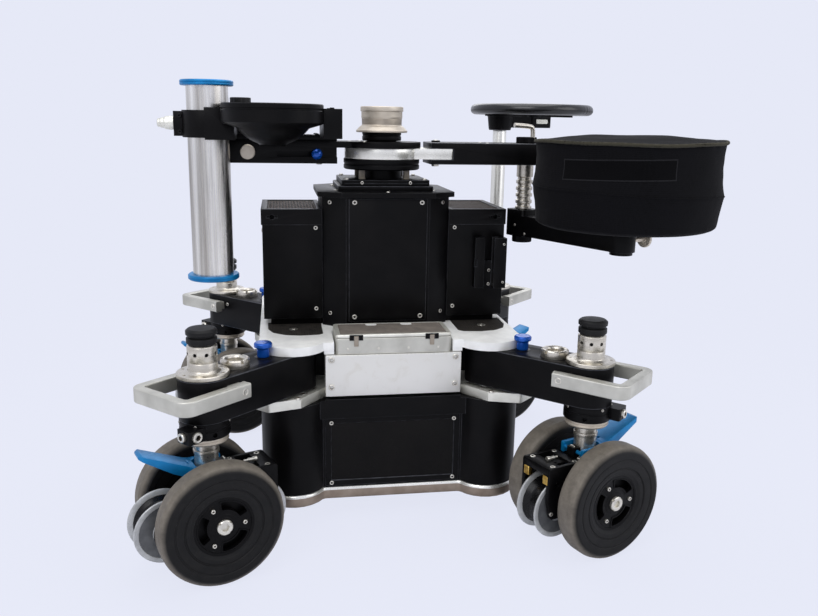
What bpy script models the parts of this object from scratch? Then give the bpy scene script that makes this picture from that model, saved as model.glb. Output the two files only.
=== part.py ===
# Camera dolly: a square chassis on four swinging arms, twin-tyre bogies with rail
# rollers, a lifting column with a turnstile, a seat arm and an offset steering wheel.
# Everything is placed about the column axis, and one empty moves the whole object
# so that the middle of its box stands on the origin.

import bpy
import bmesh
from math import pi, sin, cos, sqrt, atan2, radians
from mathutils import Matrix

for thing in list(bpy.data.objects):
    bpy.data.objects.remove(thing, do_unlink=True)

mm = 0.001

# Clearance between pieces that touch
gap = 0.3 * mm

# Stance
kingpinHalf = 334 * mm
pivotHalf = 185 * mm
crabAngle = radians(21.8)
armReach = (kingpinHalf - pivotHalf) * sqrt(2)

# Tyres and hubs
tyreRadius = 105 * mm
tyreWidth = 47 * mm
tyreOffset = 68 * mm
tyreShoulder = 10 * mm
tyreCrown = 11 * mm
rimRadius = 52 * mm
hubFaceOut = 17 * mm
hubWeb = 8 * mm
hubBoss = 19 * mm
axleRadius = 9 * mm
axleNut = 13 * mm
wheelSides = 24

# Rail rollers
rollerRadius = 55 * mm
rollerDrum = 38 * mm
rollerHalf = 25 * mm
rollerFlange = 5 * mm
rollerOffset = 76 * mm
rollerHeight = 88.5 * mm
rollerAxle = 6 * mm
rollerSides = 14

# Levels of the chassis
baseBottom = 45 * mm
baseTop = 70 * mm
housingTop = 242.7 * mm
flangeBottom = 243 * mm
flangeTop = 261 * mm
armBottom = 261.4 * mm
armTop = 338.3 * mm
deckBottom = 338.7 * mm
deckTop = 351 * mm

# Plan of the chassis
bodyHalf = 215 * mm
lobeRadius = 62 * mm
deckHalf = 246 * mm
armHalf = 42 * mm
pivotPin = 20 * mm
lockReach = 75 * mm
lockPin = 6 * mm

# Kingpins
shaftRadius = 20 * mm
handleWide = 61 * mm
handleReach = 86.3 * mm
handleLevel = 316.5 * mm
housingRadius = 42 * mm
housingBottom = 238 * mm
collarBottom = 226.5 * mm
collarRadius = 38.5 * mm
postFlange = 43 * mm
postFlangeTop = 346 * mm
postRadius = 24.5 * mm
postTop = 392 * mm
capDiscTop = 419 * mm
crossheadTop = 160 * mm

# Column and lift
columnHalfX = 124 * mm
columnHalfY = 112 * mm
columnTop = 608 * mm
capTop = 617 * mm
mastHalf = 50 * mm
mastBottom = 90 * mm
headTop = 638 * mm
discTop = 676.5 * mm
ringTop = 697.2 * mm
barBottom = 667 * mm
barTop = 709.5 * mm
barHalf = 45 * mm
spindleRadius = 30 * mm

# Bowl, clamp and tube
tubeX = -330 * mm
tubeY = -90 * mm
tubeRadius = 37.5 * mm
clampLow = 715 * mm
clampHigh = 763 * mm
tubeAboveClamp = 53 * mm
tubeBelowClamp = 262 * mm
tubeBottom = clampLow - tubeBelowClamp
tubeTop = clampHigh + tubeAboveClamp
bowlX = -213.5 * mm
bowlY = -160 * mm
bowlRing = 89.5 * mm
bowlInner = 75 * mm
bowlTop = 776 * mm

# Seat
seatPostX = 300 * mm
seatPostRadius = 17 * mm
seatArmAngle = radians(-64)
seatArmReach = 267 * mm
seatArmBottom = 522 * mm
seatBlockTop = 575 * mm
seatBottom = 563.5 * mm
seatHeight = 172 * mm
seatRadius = 170 * mm

# Steering
steerTube = 16.5 * mm
steerTop = 731 * mm
rimLevel = 781 * mm
rimMajor = 138 * mm
rimMinor = 13.5 * mm
rimOffset = 96 * mm

# The middle of the whole object's box, seen from the column axis
middleX = 60.9 * mm
middleY = 32.9 * mm

dolly = bpy.data.collections.new("camera_dolly")
bpy.context.scene.collection.children.link(dolly)
cutters = bpy.data.collections.new("cutters")
bpy.context.scene.collection.children.link(cutters)


def material(name, rgb, roughness, metallic=0.0):
    mat = bpy.data.materials.new(name)
    mat.use_nodes = True
    shader = mat.node_tree.nodes["Principled BSDF"]
    shader.inputs["Base Color"].default_value = (*rgb, 1.0)
    shader.inputs["Roughness"].default_value = roughness
    shader.inputs["Metallic"].default_value = metallic
    mat.diffuse_color = (*rgb, 1.0)
    return mat


# Working tools: every one returns an object in the cutters collection

def keep(name, bm):
    bmesh.ops.recalc_face_normals(bm, faces=bm.faces)
    mesh = bpy.data.meshes.new(name)
    bm.to_mesh(mesh)
    bm.free()
    obj = bpy.data.objects.new(name, mesh)
    cutters.objects.link(obj)
    return obj


def slab(name, outline, bottom, top):
    # An outline in plan, raised from one level to another
    bm = bmesh.new()
    face = bm.faces.new([bm.verts.new((x, y, bottom)) for x, y in outline])
    raised = bmesh.ops.extrude_face_region(bm, geom=[face])
    verts = [part for part in raised["geom"] if isinstance(part, bmesh.types.BMVert)]
    bmesh.ops.translate(bm, verts=verts, vec=(0, 0, top - bottom))
    return keep(name, bm)


def box(name, low, high):
    outline = [(low[0], low[1]), (high[0], low[1]), (high[0], high[1]), (low[0], high[1])]
    return slab(name, outline, low[2], high[2])


def circle(radius, sides, x=0.0, y=0.0, turn=0.0):
    steps = [turn + 2 * pi * k / sides for k in range(sides)]
    return [(x + radius * cos(a), y + radius * sin(a)) for a in steps]


def rod(name, radius, bottom, top, sides=24, x=0.0, y=0.0):
    return slab(name, circle(radius, sides, x, y), bottom, top)


def boreFor(radius, sides, clearance=gap):
    # A faceted bore's corner radius, so that its flats still clear a turning pin
    return (radius + clearance) / cos(pi / sides)


def rounded(halfX, halfY, radius, steps=4, x=0.0, y=0.0):
    points = []
    for corner in range(4):
        signX = (1, -1, -1, 1)[corner]
        signY = (1, 1, -1, -1)[corner]
        for k in range(steps + 1):
            a = (corner + k / steps) * pi / 2
            points.append((x + signX * (halfX - radius) + radius * cos(a),
                           y + signY * (halfY - radius) + radius * sin(a)))
    return points


def stadium(reach, half, sides=20):
    # Round ends about the origin and about (reach, 0)
    points = []
    for k in range(sides // 2 + 1):
        a = -pi / 2 + pi * k / (sides // 2)
        points.append((reach + half * cos(a), half * sin(a)))
    for k in range(sides // 2 + 1):
        a = pi / 2 + pi * k / (sides // 2)
        points.append((half * cos(a), half * sin(a)))
    return points


def lobed(side, pivot, radius, steps=6):
    # A square whose four corners swell into round lobes about the arm pivots
    drop = side - pivot
    reach = sqrt(radius ** 2 - drop ** 2)
    start = atan2(-drop, -reach)
    end = atan2(reach, drop)
    points = []
    for corner in range(4):
        turn = -pi / 4 + corner * pi / 2
        centre = (pivot * sqrt(2) * cos(turn), pivot * sqrt(2) * sin(turn))
        for k in range(steps + 1):
            a = start + (end - start) * k / steps + corner * pi / 2
            points.append((centre[0] + radius * cos(a), centre[1] + radius * sin(a)))
    return points


def turned(name, profile, sides=24, closed=True):
    # A closed profile of (radius, height) swept round Z by the Screw modifier
    mesh = bpy.data.meshes.new(name)
    verts = [(r, 0, z) for r, z in profile]
    count = len(verts)
    edges = [(k, k + 1) for k in range(count - 1)]
    if closed:
        edges.append((count - 1, 0))
    mesh.from_pydata(verts, edges, [])
    obj = bpy.data.objects.new(name, mesh)
    cutters.objects.link(obj)
    screw = obj.modifiers.new("turn", "SCREW")
    screw.steps = sides
    screw.render_steps = sides
    screw.use_merge_vertices = True
    screw.merge_threshold = 0.00001
    screw.use_normal_calculate = True
    return settle(obj)


def settle(obj):
    # The mesh as its modifiers leave it, with the normals facing out
    bpy.context.view_layer.update()
    graph = bpy.context.evaluated_depsgraph_get()
    mesh = bpy.data.meshes.new_from_object(obj.evaluated_get(graph))
    obj.modifiers.clear()
    bm = bmesh.new()
    bm.from_mesh(mesh)
    bmesh.ops.remove_doubles(bm, verts=bm.verts, dist=0.000005)
    bmesh.ops.dissolve_degenerate(bm, edges=bm.edges, dist=0.000005)
    bmesh.ops.recalc_face_normals(bm, faces=bm.faces)
    bm.to_mesh(mesh)
    bm.free()
    obj.data = mesh
    return obj


def combine(obj, others, operation):
    for other in others:
        step = obj.modifiers.new(operation.lower(), "BOOLEAN")
        step.operation = operation
        step.solver = "EXACT"
        step.object = other
    settle(obj)
    for other in others:
        bpy.data.objects.remove(other, do_unlink=True)
    return obj


def join(obj, *others):
    return combine(obj, others, "UNION")


def cut(obj, *others):
    return combine(obj, others, "DIFFERENCE")


def place(obj, at=(0, 0, 0), axis=None, angle=0.0):
    # Moves and turns the mesh itself, so pieces can be joined in one frame
    matrix = Matrix.Translation(at)
    if axis:
        matrix = matrix @ Matrix.Rotation(angle, 4, axis)
    obj.data.transform(matrix)
    return obj


def soften(obj, width, segments=1, limit=radians(40)):
    bevel = obj.modifiers.new("edges", "BEVEL")
    bevel.width = width
    bevel.segments = segments
    bevel.limit_method = "ANGLE"
    bevel.angle_limit = limit
    bevel.use_clamp_overlap = True
    return settle(obj)


def swept(name, path, profile):
    # A section carried along a path of points, with its ends capped
    line = bpy.data.curves.new(name, "CURVE")
    line.dimensions = "3D"
    line.twist_mode = "Z_UP"
    spline = line.splines.new("POLY")
    spline.points.add(len(path) - 1)
    for point, at in zip(spline.points, path):
        point.co = (*at, 1)
    section = bpy.data.curves.new(name + " section", "CURVE")
    section.dimensions = "2D"
    ring = section.splines.new("POLY")
    ring.points.add(len(profile) - 1)
    for point, (x, y) in zip(ring.points, profile):
        point.co = (x, y, 0, 1)
    ring.use_cyclic_u = True
    shape = bpy.data.objects.new(name + " section", section)
    cutters.objects.link(shape)
    line.bevel_mode = "OBJECT"
    line.bevel_object = shape
    line.use_fill_caps = True
    obj = bpy.data.objects.new(name, line)
    cutters.objects.link(obj)
    bpy.context.view_layer.update()
    graph = bpy.context.evaluated_depsgraph_get()
    mesh = bpy.data.meshes.new_from_object(obj.evaluated_get(graph))
    bpy.data.objects.remove(obj, do_unlink=True)
    bpy.data.objects.remove(shape, do_unlink=True)
    solid = bpy.data.objects.new(name, mesh)
    cutters.objects.link(solid)
    bm = bmesh.new()
    bm.from_mesh(mesh)
    bmesh.ops.remove_doubles(bm, verts=bm.verts, dist=0.00001)
    bmesh.ops.recalc_face_normals(bm, faces=bm.faces)
    bm.to_mesh(mesh)
    bm.free()
    return solid


def frame(name, parent, at=(0, 0, 0), turn=0.0):
    # An empty that stands on a joint's axis
    empty = bpy.data.objects.new(name, None)
    empty.empty_display_size = 0.03
    empty.parent = parent
    empty.location = at
    empty.rotation_euler = (0, 0, turn)
    dolly.objects.link(empty)
    return empty


def piece(name, shape, mat, parent, at=(0, 0, 0), turn=(0, 0, 0), scrap=True):
    # A finished sub-part: the shape's mesh under its own name, parent and place
    shape.name = "shape"
    obj = bpy.data.objects.new(name, shape.data)
    for face in obj.data.polygons:
        face.use_smooth = True
    if not obj.data.materials:
        obj.data.materials.append(mat)
    obj.data.name = name
    obj.parent = parent
    obj.location = at
    obj.rotation_euler = turn
    dolly.objects.link(obj)
    if scrap:
        bpy.data.objects.remove(shape, do_unlink=True)
    return obj


blackAnodised = (0.02, 0.02, 0.022)
silverMetal = (0.62, 0.63, 0.64)
bluePaint = (0.01, 0.13, 0.45)
rubberBlack = (0.03, 0.029, 0.028)

root = bpy.data.objects.new("dolly_root", None)
root.location = (-middleX, -middleY, 0)
dolly.objects.link(root)



def mastWell(bottom, top):
    # The guide in which the mast slides
    half = mastHalf + 0.4 * mm
    return box("well", (-half, -half, bottom), (half, half, top))


# Base plate, lower housing and its service panel
plate = slab("plate", lobed(bodyHalf, pivotHalf, lobeRadius), baseBottom, baseTop)
soften(plate, 5 * mm, 1)
piece("base_plate", plate, material("base_plate_satin_aluminium", silverMetal, 0.35, 1.0), root)

housingHalf = bodyHalf - 1 * mm
panelHalfX = 128 * mm
panelLow = 73 * mm
panelHigh = 209 * mm
trimHalfX = 145 * mm
trimLow = 209.5 * mm
trimHigh = 247 * mm
trimFront = bodyHalf + 6 * mm
housing = slab("housing", lobed(housingHalf, pivotHalf, lobeRadius - 2 * mm), baseTop + gap, housingTop)
trims = []
for side in (-1, 1):
    near = min(side * (bodyHalf - 4 * mm), side * trimFront)
    far = max(side * (bodyHalf - 4 * mm), side * trimFront)
    trims.append(box("trim", (-trimHalfX, near, trimLow), (trimHalfX, far, housingTop - 0.5 * mm)))
    near = min(side * (bodyHalf + 1 * mm), side * trimFront)
    far = max(side * (bodyHalf + 1 * mm), side * trimFront)
    trims.append(box("trim", (-panelHalfX, near, trimLow + 5 * mm), (panelHalfX, far, trimHigh)))
join(housing, *trims)
well = mastWell(mastBottom - 4 * mm, 1)
pocket = box("pocket", (-panelHalfX - gap, -housingHalf - 20 * mm, panelLow - gap),
             (panelHalfX + gap, -housingHalf + 4 * mm, panelHigh + gap))
cut(housing, well, pocket)
piece("lower_housing", housing, material("housing_black_anodised", blackAnodised, 0.4), root)

panel = box("panel", (-panelHalfX, -housingHalf - 1 * mm, panelLow),
            (panelHalfX, -housingHalf + 4 * mm - gap, panelHigh))
inset = 11 * mm
cut(panel, box("inset", (-panelHalfX + inset, -housingHalf - 10 * mm, panelLow + inset),
               (panelHalfX - inset, -housingHalf + 1 * mm, panelHigh - inset)))
piece("service_panel", panel, material("panel_black_anodised", blackAnodised, 0.3), root)

# Chassis frame: the silver lower flange, its arm pivots and the core between them
frontPlateX = 127 * mm
frontPlateY = bodyHalf + 2 * mm
coreSide = 119 * mm
coreTop = deckBottom - gap
caseFloor = 331 * mm
chassis = slab("chassis", lobed(190 * mm, pivotHalf, lobeRadius), flangeBottom, flangeTop)
parts = [
    box("core", (-frontPlateX + 5 * mm, -190 * mm, flangeTop - 1 * mm),
        (frontPlateX - 5 * mm, 190 * mm, caseFloor - gap)),
    box("core", (-coreSide, -coreSide, flangeTop - 2 * mm), (coreSide, coreSide, coreTop)),
    box("core", (-210 * mm, -coreSide + 6 * mm, flangeTop - 3 * mm),
        (210 * mm, coreSide - 6 * mm, coreTop - 0.0001)),
]
for side in (-1, 1):
    near = min(side * 188 * mm, side * frontPlateY)
    far = max(side * 188 * mm, side * frontPlateY)
    parts.append(box("face", (-frontPlateX, near, 251.5 * mm), (frontPlateX, far, caseFloor - gap - 0.0002)))
parts.append(box("rear", (-frontPlateX + 10 * mm, coreSide - 10 * mm, 280 * mm),
                 (frontPlateX - 10 * mm, frontPlateY - 5 * mm, coreTop - 0.0003)))
for signX in (-1, 1):
    for signY in (-1, 1):
        x = signX * pivotHalf
        y = signY * pivotHalf
        parts.append(rod("pin", pivotPin, flangeTop - 4 * mm, coreTop, 12, x, y))
        turn = atan2(signY, signX)
        tongue = box("tongue", (20 * mm, -26 * mm, flangeBottom + 0.0005),
                     (lockReach + 16 * mm, 26 * mm, flangeTop - 0.0005))
        place(tongue, (x, y, 0), "Z", turn)
        parts.append(tongue)
join(chassis, *parts)
cut(chassis, mastWell(0, 1))
piece("chassis_frame", chassis, material("frame_satin_aluminium", silverMetal, 0.35, 1.0), root)

# Deck casting with four foot platforms and the bay for the tool case
caseHalfX = 108 * mm
caseFront = -215 * mm
caseBack = -127 * mm
bayHalf = caseHalfX + 3 * mm
deck = slab("deck", lobed(bodyHalf, pivotHalf, lobeRadius), deckBottom, deckTop)
join(deck, box("flank", (-deckHalf, -pivotHalf, deckBottom + 0.0001),
               (deckHalf, pivotHalf, deckTop - 0.0001)))
soften(deck, 3.5 * mm, 1, radians(60))
ribs = []
for side in (-1, 1):
    low = min(side * (bayHalf - 1 * mm), side * (frontPlateX + 2 * mm))
    high = max(side * (bayHalf - 1 * mm), side * (frontPlateX + 2 * mm))
    ribs.append(box("rib", (low, -bodyHalf + 1 * mm, caseFloor + 1 * mm),
                    (high, -coreSide - 3 * mm, deckTop - 1.5 * mm)))
join(deck, *ribs)
cut(deck,
    box("bay", (-bayHalf, -0.3, 0.3), (bayHalf, caseBack + 2 * mm, 0.4)),
    mastWell(0.3, 0.4))
piece("deck", deck, material("deck_cast_aluminium", silverMetal, 0.4, 1.0), root)

# Tool case in its bay, with a hinged lid and two latches
caseMiddle = (caseFront + caseBack) / 2
caseDepth = (caseBack - caseFront) / 2
caseRim = 361 * mm
lidTop = 368 * mm
wall = 2.5 * mm
body = slab("case", rounded(caseHalfX, caseDepth, 7 * mm, 3, 0, caseMiddle), caseFloor + gap, caseRim)
cut(body, slab("inside", rounded(caseHalfX - wall, caseDepth - wall, 5 * mm, 3, 0, caseMiddle),
               caseFloor + wall, caseRim + 0.01))
caseMetal = material("case_satin_aluminium", silverMetal, 0.3, 1.0)
piece("tool_case", body, caseMetal, root)

hingeY = caseBack
hingeZ = caseRim + 1 * mm
lidFrame = frame("lid_hinge", root, (0, hingeY, hingeZ))
lid = slab("lid", rounded(caseHalfX, caseDepth, 7 * mm, 3, 0, -caseDepth), gap - 1 * mm, lidTop - hingeZ)
soften(lid, 3 * mm, 2, radians(50))
cut(lid, slab("inside", rounded(caseHalfX - wall, caseDepth - wall, 5 * mm, 3, 0, -caseDepth),
              -0.01, lidTop - hingeZ - wall))
piece("tool_case_lid", lid, material("lid_satin_aluminium", silverMetal, 0.3, 1.0), lidFrame)

latchMat = material("latch_steel", silverMetal, 0.25, 1.0)
latchX = 70.5 * mm
latchLow = 347 * mm
latchHigh = 364 * mm
latchHalf = 4.5 * mm
for side, name in ((-1, "latch_left"), (1, "latch_right")):
    latchFrame = frame(name + "_hinge", root, (side * latchX, caseFront - gap - 1.2 * mm, latchLow))
    tongue = box("tongue", (-latchHalf, -1.2 * mm, -0.5 * mm), (latchHalf, 1.2 * mm, latchHigh - latchLow))
    join(tongue,
         box("hook", (-11 * mm, -1.6 * mm, latchHigh - latchLow - 6 * mm),
             (11 * mm, 1.19 * mm, latchHigh - latchLow + 3 * mm)))
    piece(name, tongue, latchMat, latchFrame)

# Column: an eight-sided housing with a raised front panel, a cap and two side pods
chamferX = 44 * mm
chamferY = 34 * mm


def octagon(halfX, halfY, cutX, cutY):
    quarter = [(halfX - cutX, -halfY), (halfX, -halfY + cutY)]
    right = quarter + [(x, -y) for x, y in reversed(quarter)]
    return right + [(-x, -y) for x, y in right]


column = slab("column", octagon(columnHalfX, columnHalfY, chamferX, chamferY), deckTop + gap, columnTop)
capSpread = 9 * mm
panels = []
for side in (-1, 1):
    near = min(side * (columnHalfY - 5 * mm), side * (columnHalfY + 3 * mm))
    far = max(side * (columnHalfY - 5 * mm), side * (columnHalfY + 3 * mm))
    panels.append(box("panel", (-75.5 * mm, near, deckTop + 17 * mm), (75.5 * mm, far, columnTop - 2 * mm)))
panels.append(slab("cap", octagon(columnHalfX + capSpread, columnHalfY + capSpread, chamferX, chamferY),
                   columnTop - 0.5 * mm, capTop))
join(column, *panels)
cut(column, mastWell(0.3, 0.7))
piece("column_housing", column, material("column_black_anodised", blackAnodised, 0.45), root)

podInner = columnHalfX + gap
podOuter = 240 * mm
podFront = -82 * mm
podBack = 108 * mm
podBottom = deckTop + gap
podTop = 583 * mm
bandLow = 553 * mm
podMat = material("pod_black_anodised", blackAnodised, 0.45)
for side, name in ((-1, "side_pod_left"), (1, "side_pod_right")):
    low = min(side * podInner, side * (podOuter - 2 * mm))
    high = max(side * podInner, side * (podOuter - 2 * mm))
    pod = box("pod", (low, podFront + 1.5 * mm, podBottom), (high, podBack - 1.5 * mm, podTop - 10 * mm))
    low = min(side * podInner, side * podOuter)
    high = max(side * podInner, side * podOuter)
    band = box("band", (low, podFront, bandLow), (high, podBack, podTop))
    join(pod, band)
    slots = []
    for k in range(9):
        x = side * (podInner + 13 * mm + k * 11 * mm)
        slots.append(box("slot", (x - 2 * mm, podFront + 14 * mm, podTop - 3 * mm),
                         (x + 2 * mm, podBack - 14 * mm, podTop + 10 * mm)))
    keyX = side * (podOuter - 21 * mm)
    key = rod("key", 5 * mm, -0.01, 0.01, 12)
    place(key, (keyX, podFront, 573 * mm), "X", pi / 2)
    notch = box("notch", (keyX - 11 * mm, podFront - 0.01, 571 * mm), (keyX + 11 * mm, podFront + 5 * mm, 575 * mm))
    cut(pod, key, notch, *slots)
    if side > 0:
        left = box("rail", (176 * mm, podFront - 17 * mm, 428 * mm), (195 * mm, podFront + 4 * mm, 528 * mm))
        right = box("rail", (213 * mm, podFront - 24 * mm, 428 * mm), (238 * mm, podFront + 4 * mm, 528 * mm))
        back = box("back", (178 * mm, podFront - 3 * mm, 404 * mm), (236 * mm, podFront + 4 * mm, 480 * mm))
        join(pod, left, right, back)
        cut(pod,
            box("groove", (187 * mm, podFront - 11 * mm, 432 * mm), (199 * mm, podFront - 4 * mm, 0.54)),
            box("groove", (205 * mm, podFront - 18 * mm, 432 * mm), (226 * mm, podFront - 4 * mm, 0.54)))
    piece(name, pod, podMat, root)

# Lift: the mast slides up out of the column and carries the head
liftFrame = frame("lift", root)
mast = slab("mast", rounded(mastHalf, mastHalf, 6 * mm, 2), mastBottom, headTop - 2 * mm)
heads = [
    slab("plate", rounded(93 * mm, 84 * mm, 10 * mm, 2), capTop + gap, 627 * mm),
    slab("plate", rounded(86 * mm, 78 * mm, 8 * mm, 2), 626 * mm, headTop),
    rod("hub", 40 * mm, headTop - 1 * mm, 656 * mm, 12),
    rod("disc", 76 * mm, 655 * mm, discTop, 24),
    rod("spindle", spindleRadius, discTop - 1 * mm, 712 * mm, 16),
    rod("neck", 39 * mm, barTop + 1.5 * mm, 726.6 * mm, 20),
]
for k in range(4):
    a = pi / 4 + k * pi / 2
    pillar = (62 * mm * cos(a), 62 * mm * sin(a))
    heads.append(slab("pillar", rounded(6 * mm, 6 * mm, 3 * mm, 1, *pillar), headTop - 1 * mm, 656 * mm))
join(mast, *heads)
piece("lift_mast", mast, material("mast_black_anodised", blackAnodised, 0.35), liftFrame)

neckBase = 727 * mm
neckHeight = 50 * mm
neckRadius = 42.5 * mm
neckFoot = 51 * mm
neckTop = neckBase + neckHeight
neckCap = turned("neck", [(0, neckTop), (neckRadius - 2.5 * mm, neckTop), (neckRadius, neckTop - 3 * mm),
                          (neckRadius, neckTop - 10 * mm), (neckRadius - 2 * mm, neckTop - 12 * mm),
                          (neckRadius - 3.5 * mm, neckBase + 15 * mm), (neckRadius + 1.5 * mm, neckBase + 11 * mm),
                          (neckFoot, neckBase + 4 * mm), (neckFoot, neckBase), (0, neckBase)], 20, closed=False)
piece("neck_cap", neckCap, material("neck_champagne_aluminium", (0.55, 0.52, 0.48), 0.35, 1.0), liftFrame)

# Turnstile: the silver ring and the seat bar turn together, the bowl bar turns above them
seatTurn = frame("turnstile_seat", liftFrame)
bowlTurn = frame("turnstile_bowl", liftFrame)
tongueEnd = 137 * mm
ring = rod("ring", 74 * mm, discTop + gap, ringTop, 24)
join(ring, box("tongue", (30 * mm, -barHalf + 1 * mm, discTop + gap + 0.0001),
               (tongueEnd, barHalf - 1 * mm, ringTop - 0.0001)))
boltX = 110 * mm
boltRadius = 5 * mm
cut(ring, rod("bore", boreFor(spindleRadius, 16), 0.5, 0.8, 16),
    rod("bolt hole", boreFor(boltRadius, 8), 0.5, 0.8, 8, boltX, 0))
piece("turnstile_ring", ring, material("ring_satin_aluminium", silverMetal, 0.25, 1.0), seatTurn)

barInner = 92 * mm
seatBarEnd = 340 * mm
seatBar = slab("bar", rounded((seatBarEnd - barInner) / 2, barHalf, 6 * mm, 2, (seatBarEnd + barInner) / 2, 0),
               barBottom, barTop)
join(seatBar, rod("collar", 21 * mm, barTop - 1 * mm, 722 * mm, 16, seatPostX, 0),
     rod("bolt", 9 * mm, barTop - 1 * mm, 714 * mm, 8, boltX, 0),
     rod("nut", 7 * mm, 661 * mm, barBottom + 1 * mm, 6, boltX, 0))
cut(seatBar,
    box("fork", (0, -0.1, discTop), (tongueEnd + gap, 0.1, ringTop + gap)),
    rod("bore", boreFor(seatPostRadius, 16), 0.5, 0.8, 16, seatPostX, 0))
join(seatBar, rod("bolt", boltRadius, 664 * mm, 712 * mm, 8, boltX, 0))
piece("seat_bar", seatBar, material("seat_bar_black_anodised", blackAnodised, 0.3), seatTurn)

bowlBarEnd = -320 * mm
bar = slab("bar", rounded((-barInner - bowlBarEnd) / 2, barHalf, 6 * mm, 2, (bowlBarEnd - barInner) / 2, 0),
           barBottom, barTop)
join(bar, rod("hub", 78 * mm, ringTop + gap, barTop - 0.0001, 24),
     box("bridge", (-barInner - 6 * mm, -barHalf + 1 * mm, ringTop + gap + 0.0002),
         (-50 * mm, barHalf - 1 * mm, barTop - 0.0002)))
disc = rod("knob", 14 * mm, 0, 9 * mm, 12)
place(disc, (-262 * mm, -barHalf + 3 * mm, 688 * mm), "X", pi / 2)
nut = rod("nut", 7 * mm, 662 * mm, barBottom + 1 * mm, 6, -125 * mm, 0)
cut(bar, rod("bore", boreFor(spindleRadius, 16), 0.5, 0.8, 16),
    box("slot", (-207 * mm, -0.1, 679.5 * mm), (-118 * mm, -barHalf + 12 * mm, 690.5 * mm)),
    box("recess", (-118.5 * mm, -0.1, 679.4 * mm), (-barInner + 0.01, -barHalf + 12.1 * mm, ringTop)))
join(bar, disc, nut)
ball = bmesh.new()
bmesh.ops.create_uvsphere(ball, u_segments=8, v_segments=6, radius=9 * mm)
ball = keep("ball", ball)
place(ball, (-131 * mm, -barHalf + 5 * mm, 685 * mm))
join(bar, ball)
piece("bowl_bar", bar, material("bowl_bar_black_anodised", blackAnodised, 0.3), bowlTurn)

# Bowl holder: the tube clamp, the bracket over the bar and the bowl itself
clampRadius = 46 * mm
holder = rod("clamp", clampRadius, clampLow, clampHigh, 24, tubeX, tubeY)
ringLow = 741 * mm
bowlDrop = 703 * mm
ballCentre = bowlTop + 8 * mm
outer = []
for k in range(5):
    a = radians(12 + (90 - 12) * k / 4)
    outer.append(((bowlInner + 6 * mm) * cos(a), ballCentre - (bowlInner + 6 * mm) * sin(a)))
profile = [(0, bowlTop), (bowlRing, bowlTop), (bowlRing, ringLow)]
profile += [(r, z) for r, z in outer if z < ringLow and r > 1 * mm]
profile.append((0, outer[-1][1]))
shell = turned("bowl", profile, 24, closed=False)
place(shell, (bowlX, bowlY, 0))
blockLeft = -332 * mm
blockRight = -281 * mm
join(holder,
     box("block", (blockLeft, -148 * mm, 712 * mm), (blockRight, -100 * mm, 768 * mm)),
     box("arm", (-306 * mm, -132 * mm, 712.1 * mm), (blockRight - 0.0001, -20 * mm, 761 * mm)),
     box("foot", (-305 * mm, -40 * mm, barTop + gap), (-92 * mm, 38 * mm, 721 * mm)),
     box("post", (-125 * mm, -176 * mm, 717 * mm), (-92.1 * mm, -30 * mm, 769 * mm)),
     box("root", (-124.9 * mm, -60 * mm, 716 * mm), (-92.2 * mm, -32 * mm, 722 * mm)),
     box("ear", (-290 * mm, -172 * mm, 745 * mm), (-270 * mm, -140 * mm, 767 * mm)),
     shell,
     rod("stem", 11 * mm, 720 * mm, 765 * mm, 8, -275 * mm, 2 * mm),
     rod("knob", 20 * mm, 764 * mm, 789 * mm, 14, -275 * mm, 2 * mm))
lump = box("lug", (tubeX - 60 * mm, tubeY - 10 * mm, clampLow + 2 * mm),
           (tubeX - 38 * mm, tubeY + 10 * mm, clampHigh - 2 * mm))
join(holder, lump)
sphere = bmesh.new()
bmesh.ops.create_uvsphere(sphere, u_segments=24, v_segments=14, radius=bowlInner)
sphere = keep("sphere", sphere)
place(sphere, (bowlX, bowlY, ballCentre))
cut(holder, sphere, rod("hole", 24 * mm, 0.6, 0.76, 16, bowlX, bowlY),
    rod("bore", boreFor(tubeRadius, 24), 0.6, 0.9, 24, tubeX, tubeY),
    box("slit", (tubeX - 70 * mm, tubeY - 1.5 * mm, 0.6), (tubeX, tubeY + 1.5 * mm, 0.9)))
screwLevel = 740 * mm
piece("bowl_holder", holder, material("holder_black_anodised", blackAnodised, 0.3), bowlTurn)

knobFrame = frame("clamp_knob_axis", bowlTurn, (tubeX - 60 * mm - gap, tubeY, screwLevel))
clampKnob = turned("knob", [(0, 29 * mm), (5 * mm, 29 * mm), (9 * mm, 20 * mm), (11.5 * mm, 13 * mm),
                            (12.5 * mm, 0), (0, 0)], 16, closed=False)
place(clampKnob, axis="Y", angle=-pi / 2)
piece("clamp_knob", clampKnob, material("knob_satin_aluminium", silverMetal, 0.25, 1.0), knobFrame)

tubeFrame = frame("tube_axis", bowlTurn, (tubeX, tubeY, 0))
tubeWall = 3 * mm
ringOut = 47.5 * mm
ringHeight = 10 * mm
tube = turned("tube", [(tubeRadius - tubeWall, tubeTop), (ringOut, tubeTop),
                       (ringOut, tubeTop - ringHeight), (tubeRadius, tubeTop - ringHeight),
                       (tubeRadius, tubeBottom + ringHeight), (ringOut, tubeBottom + ringHeight),
                       (ringOut, tubeBottom), (tubeRadius - tubeWall, tubeBottom)], 28)
piece("riser_tube", tube, material("tube_stainless_steel", silverMetal, 0.2, 1.0), tubeFrame)

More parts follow.
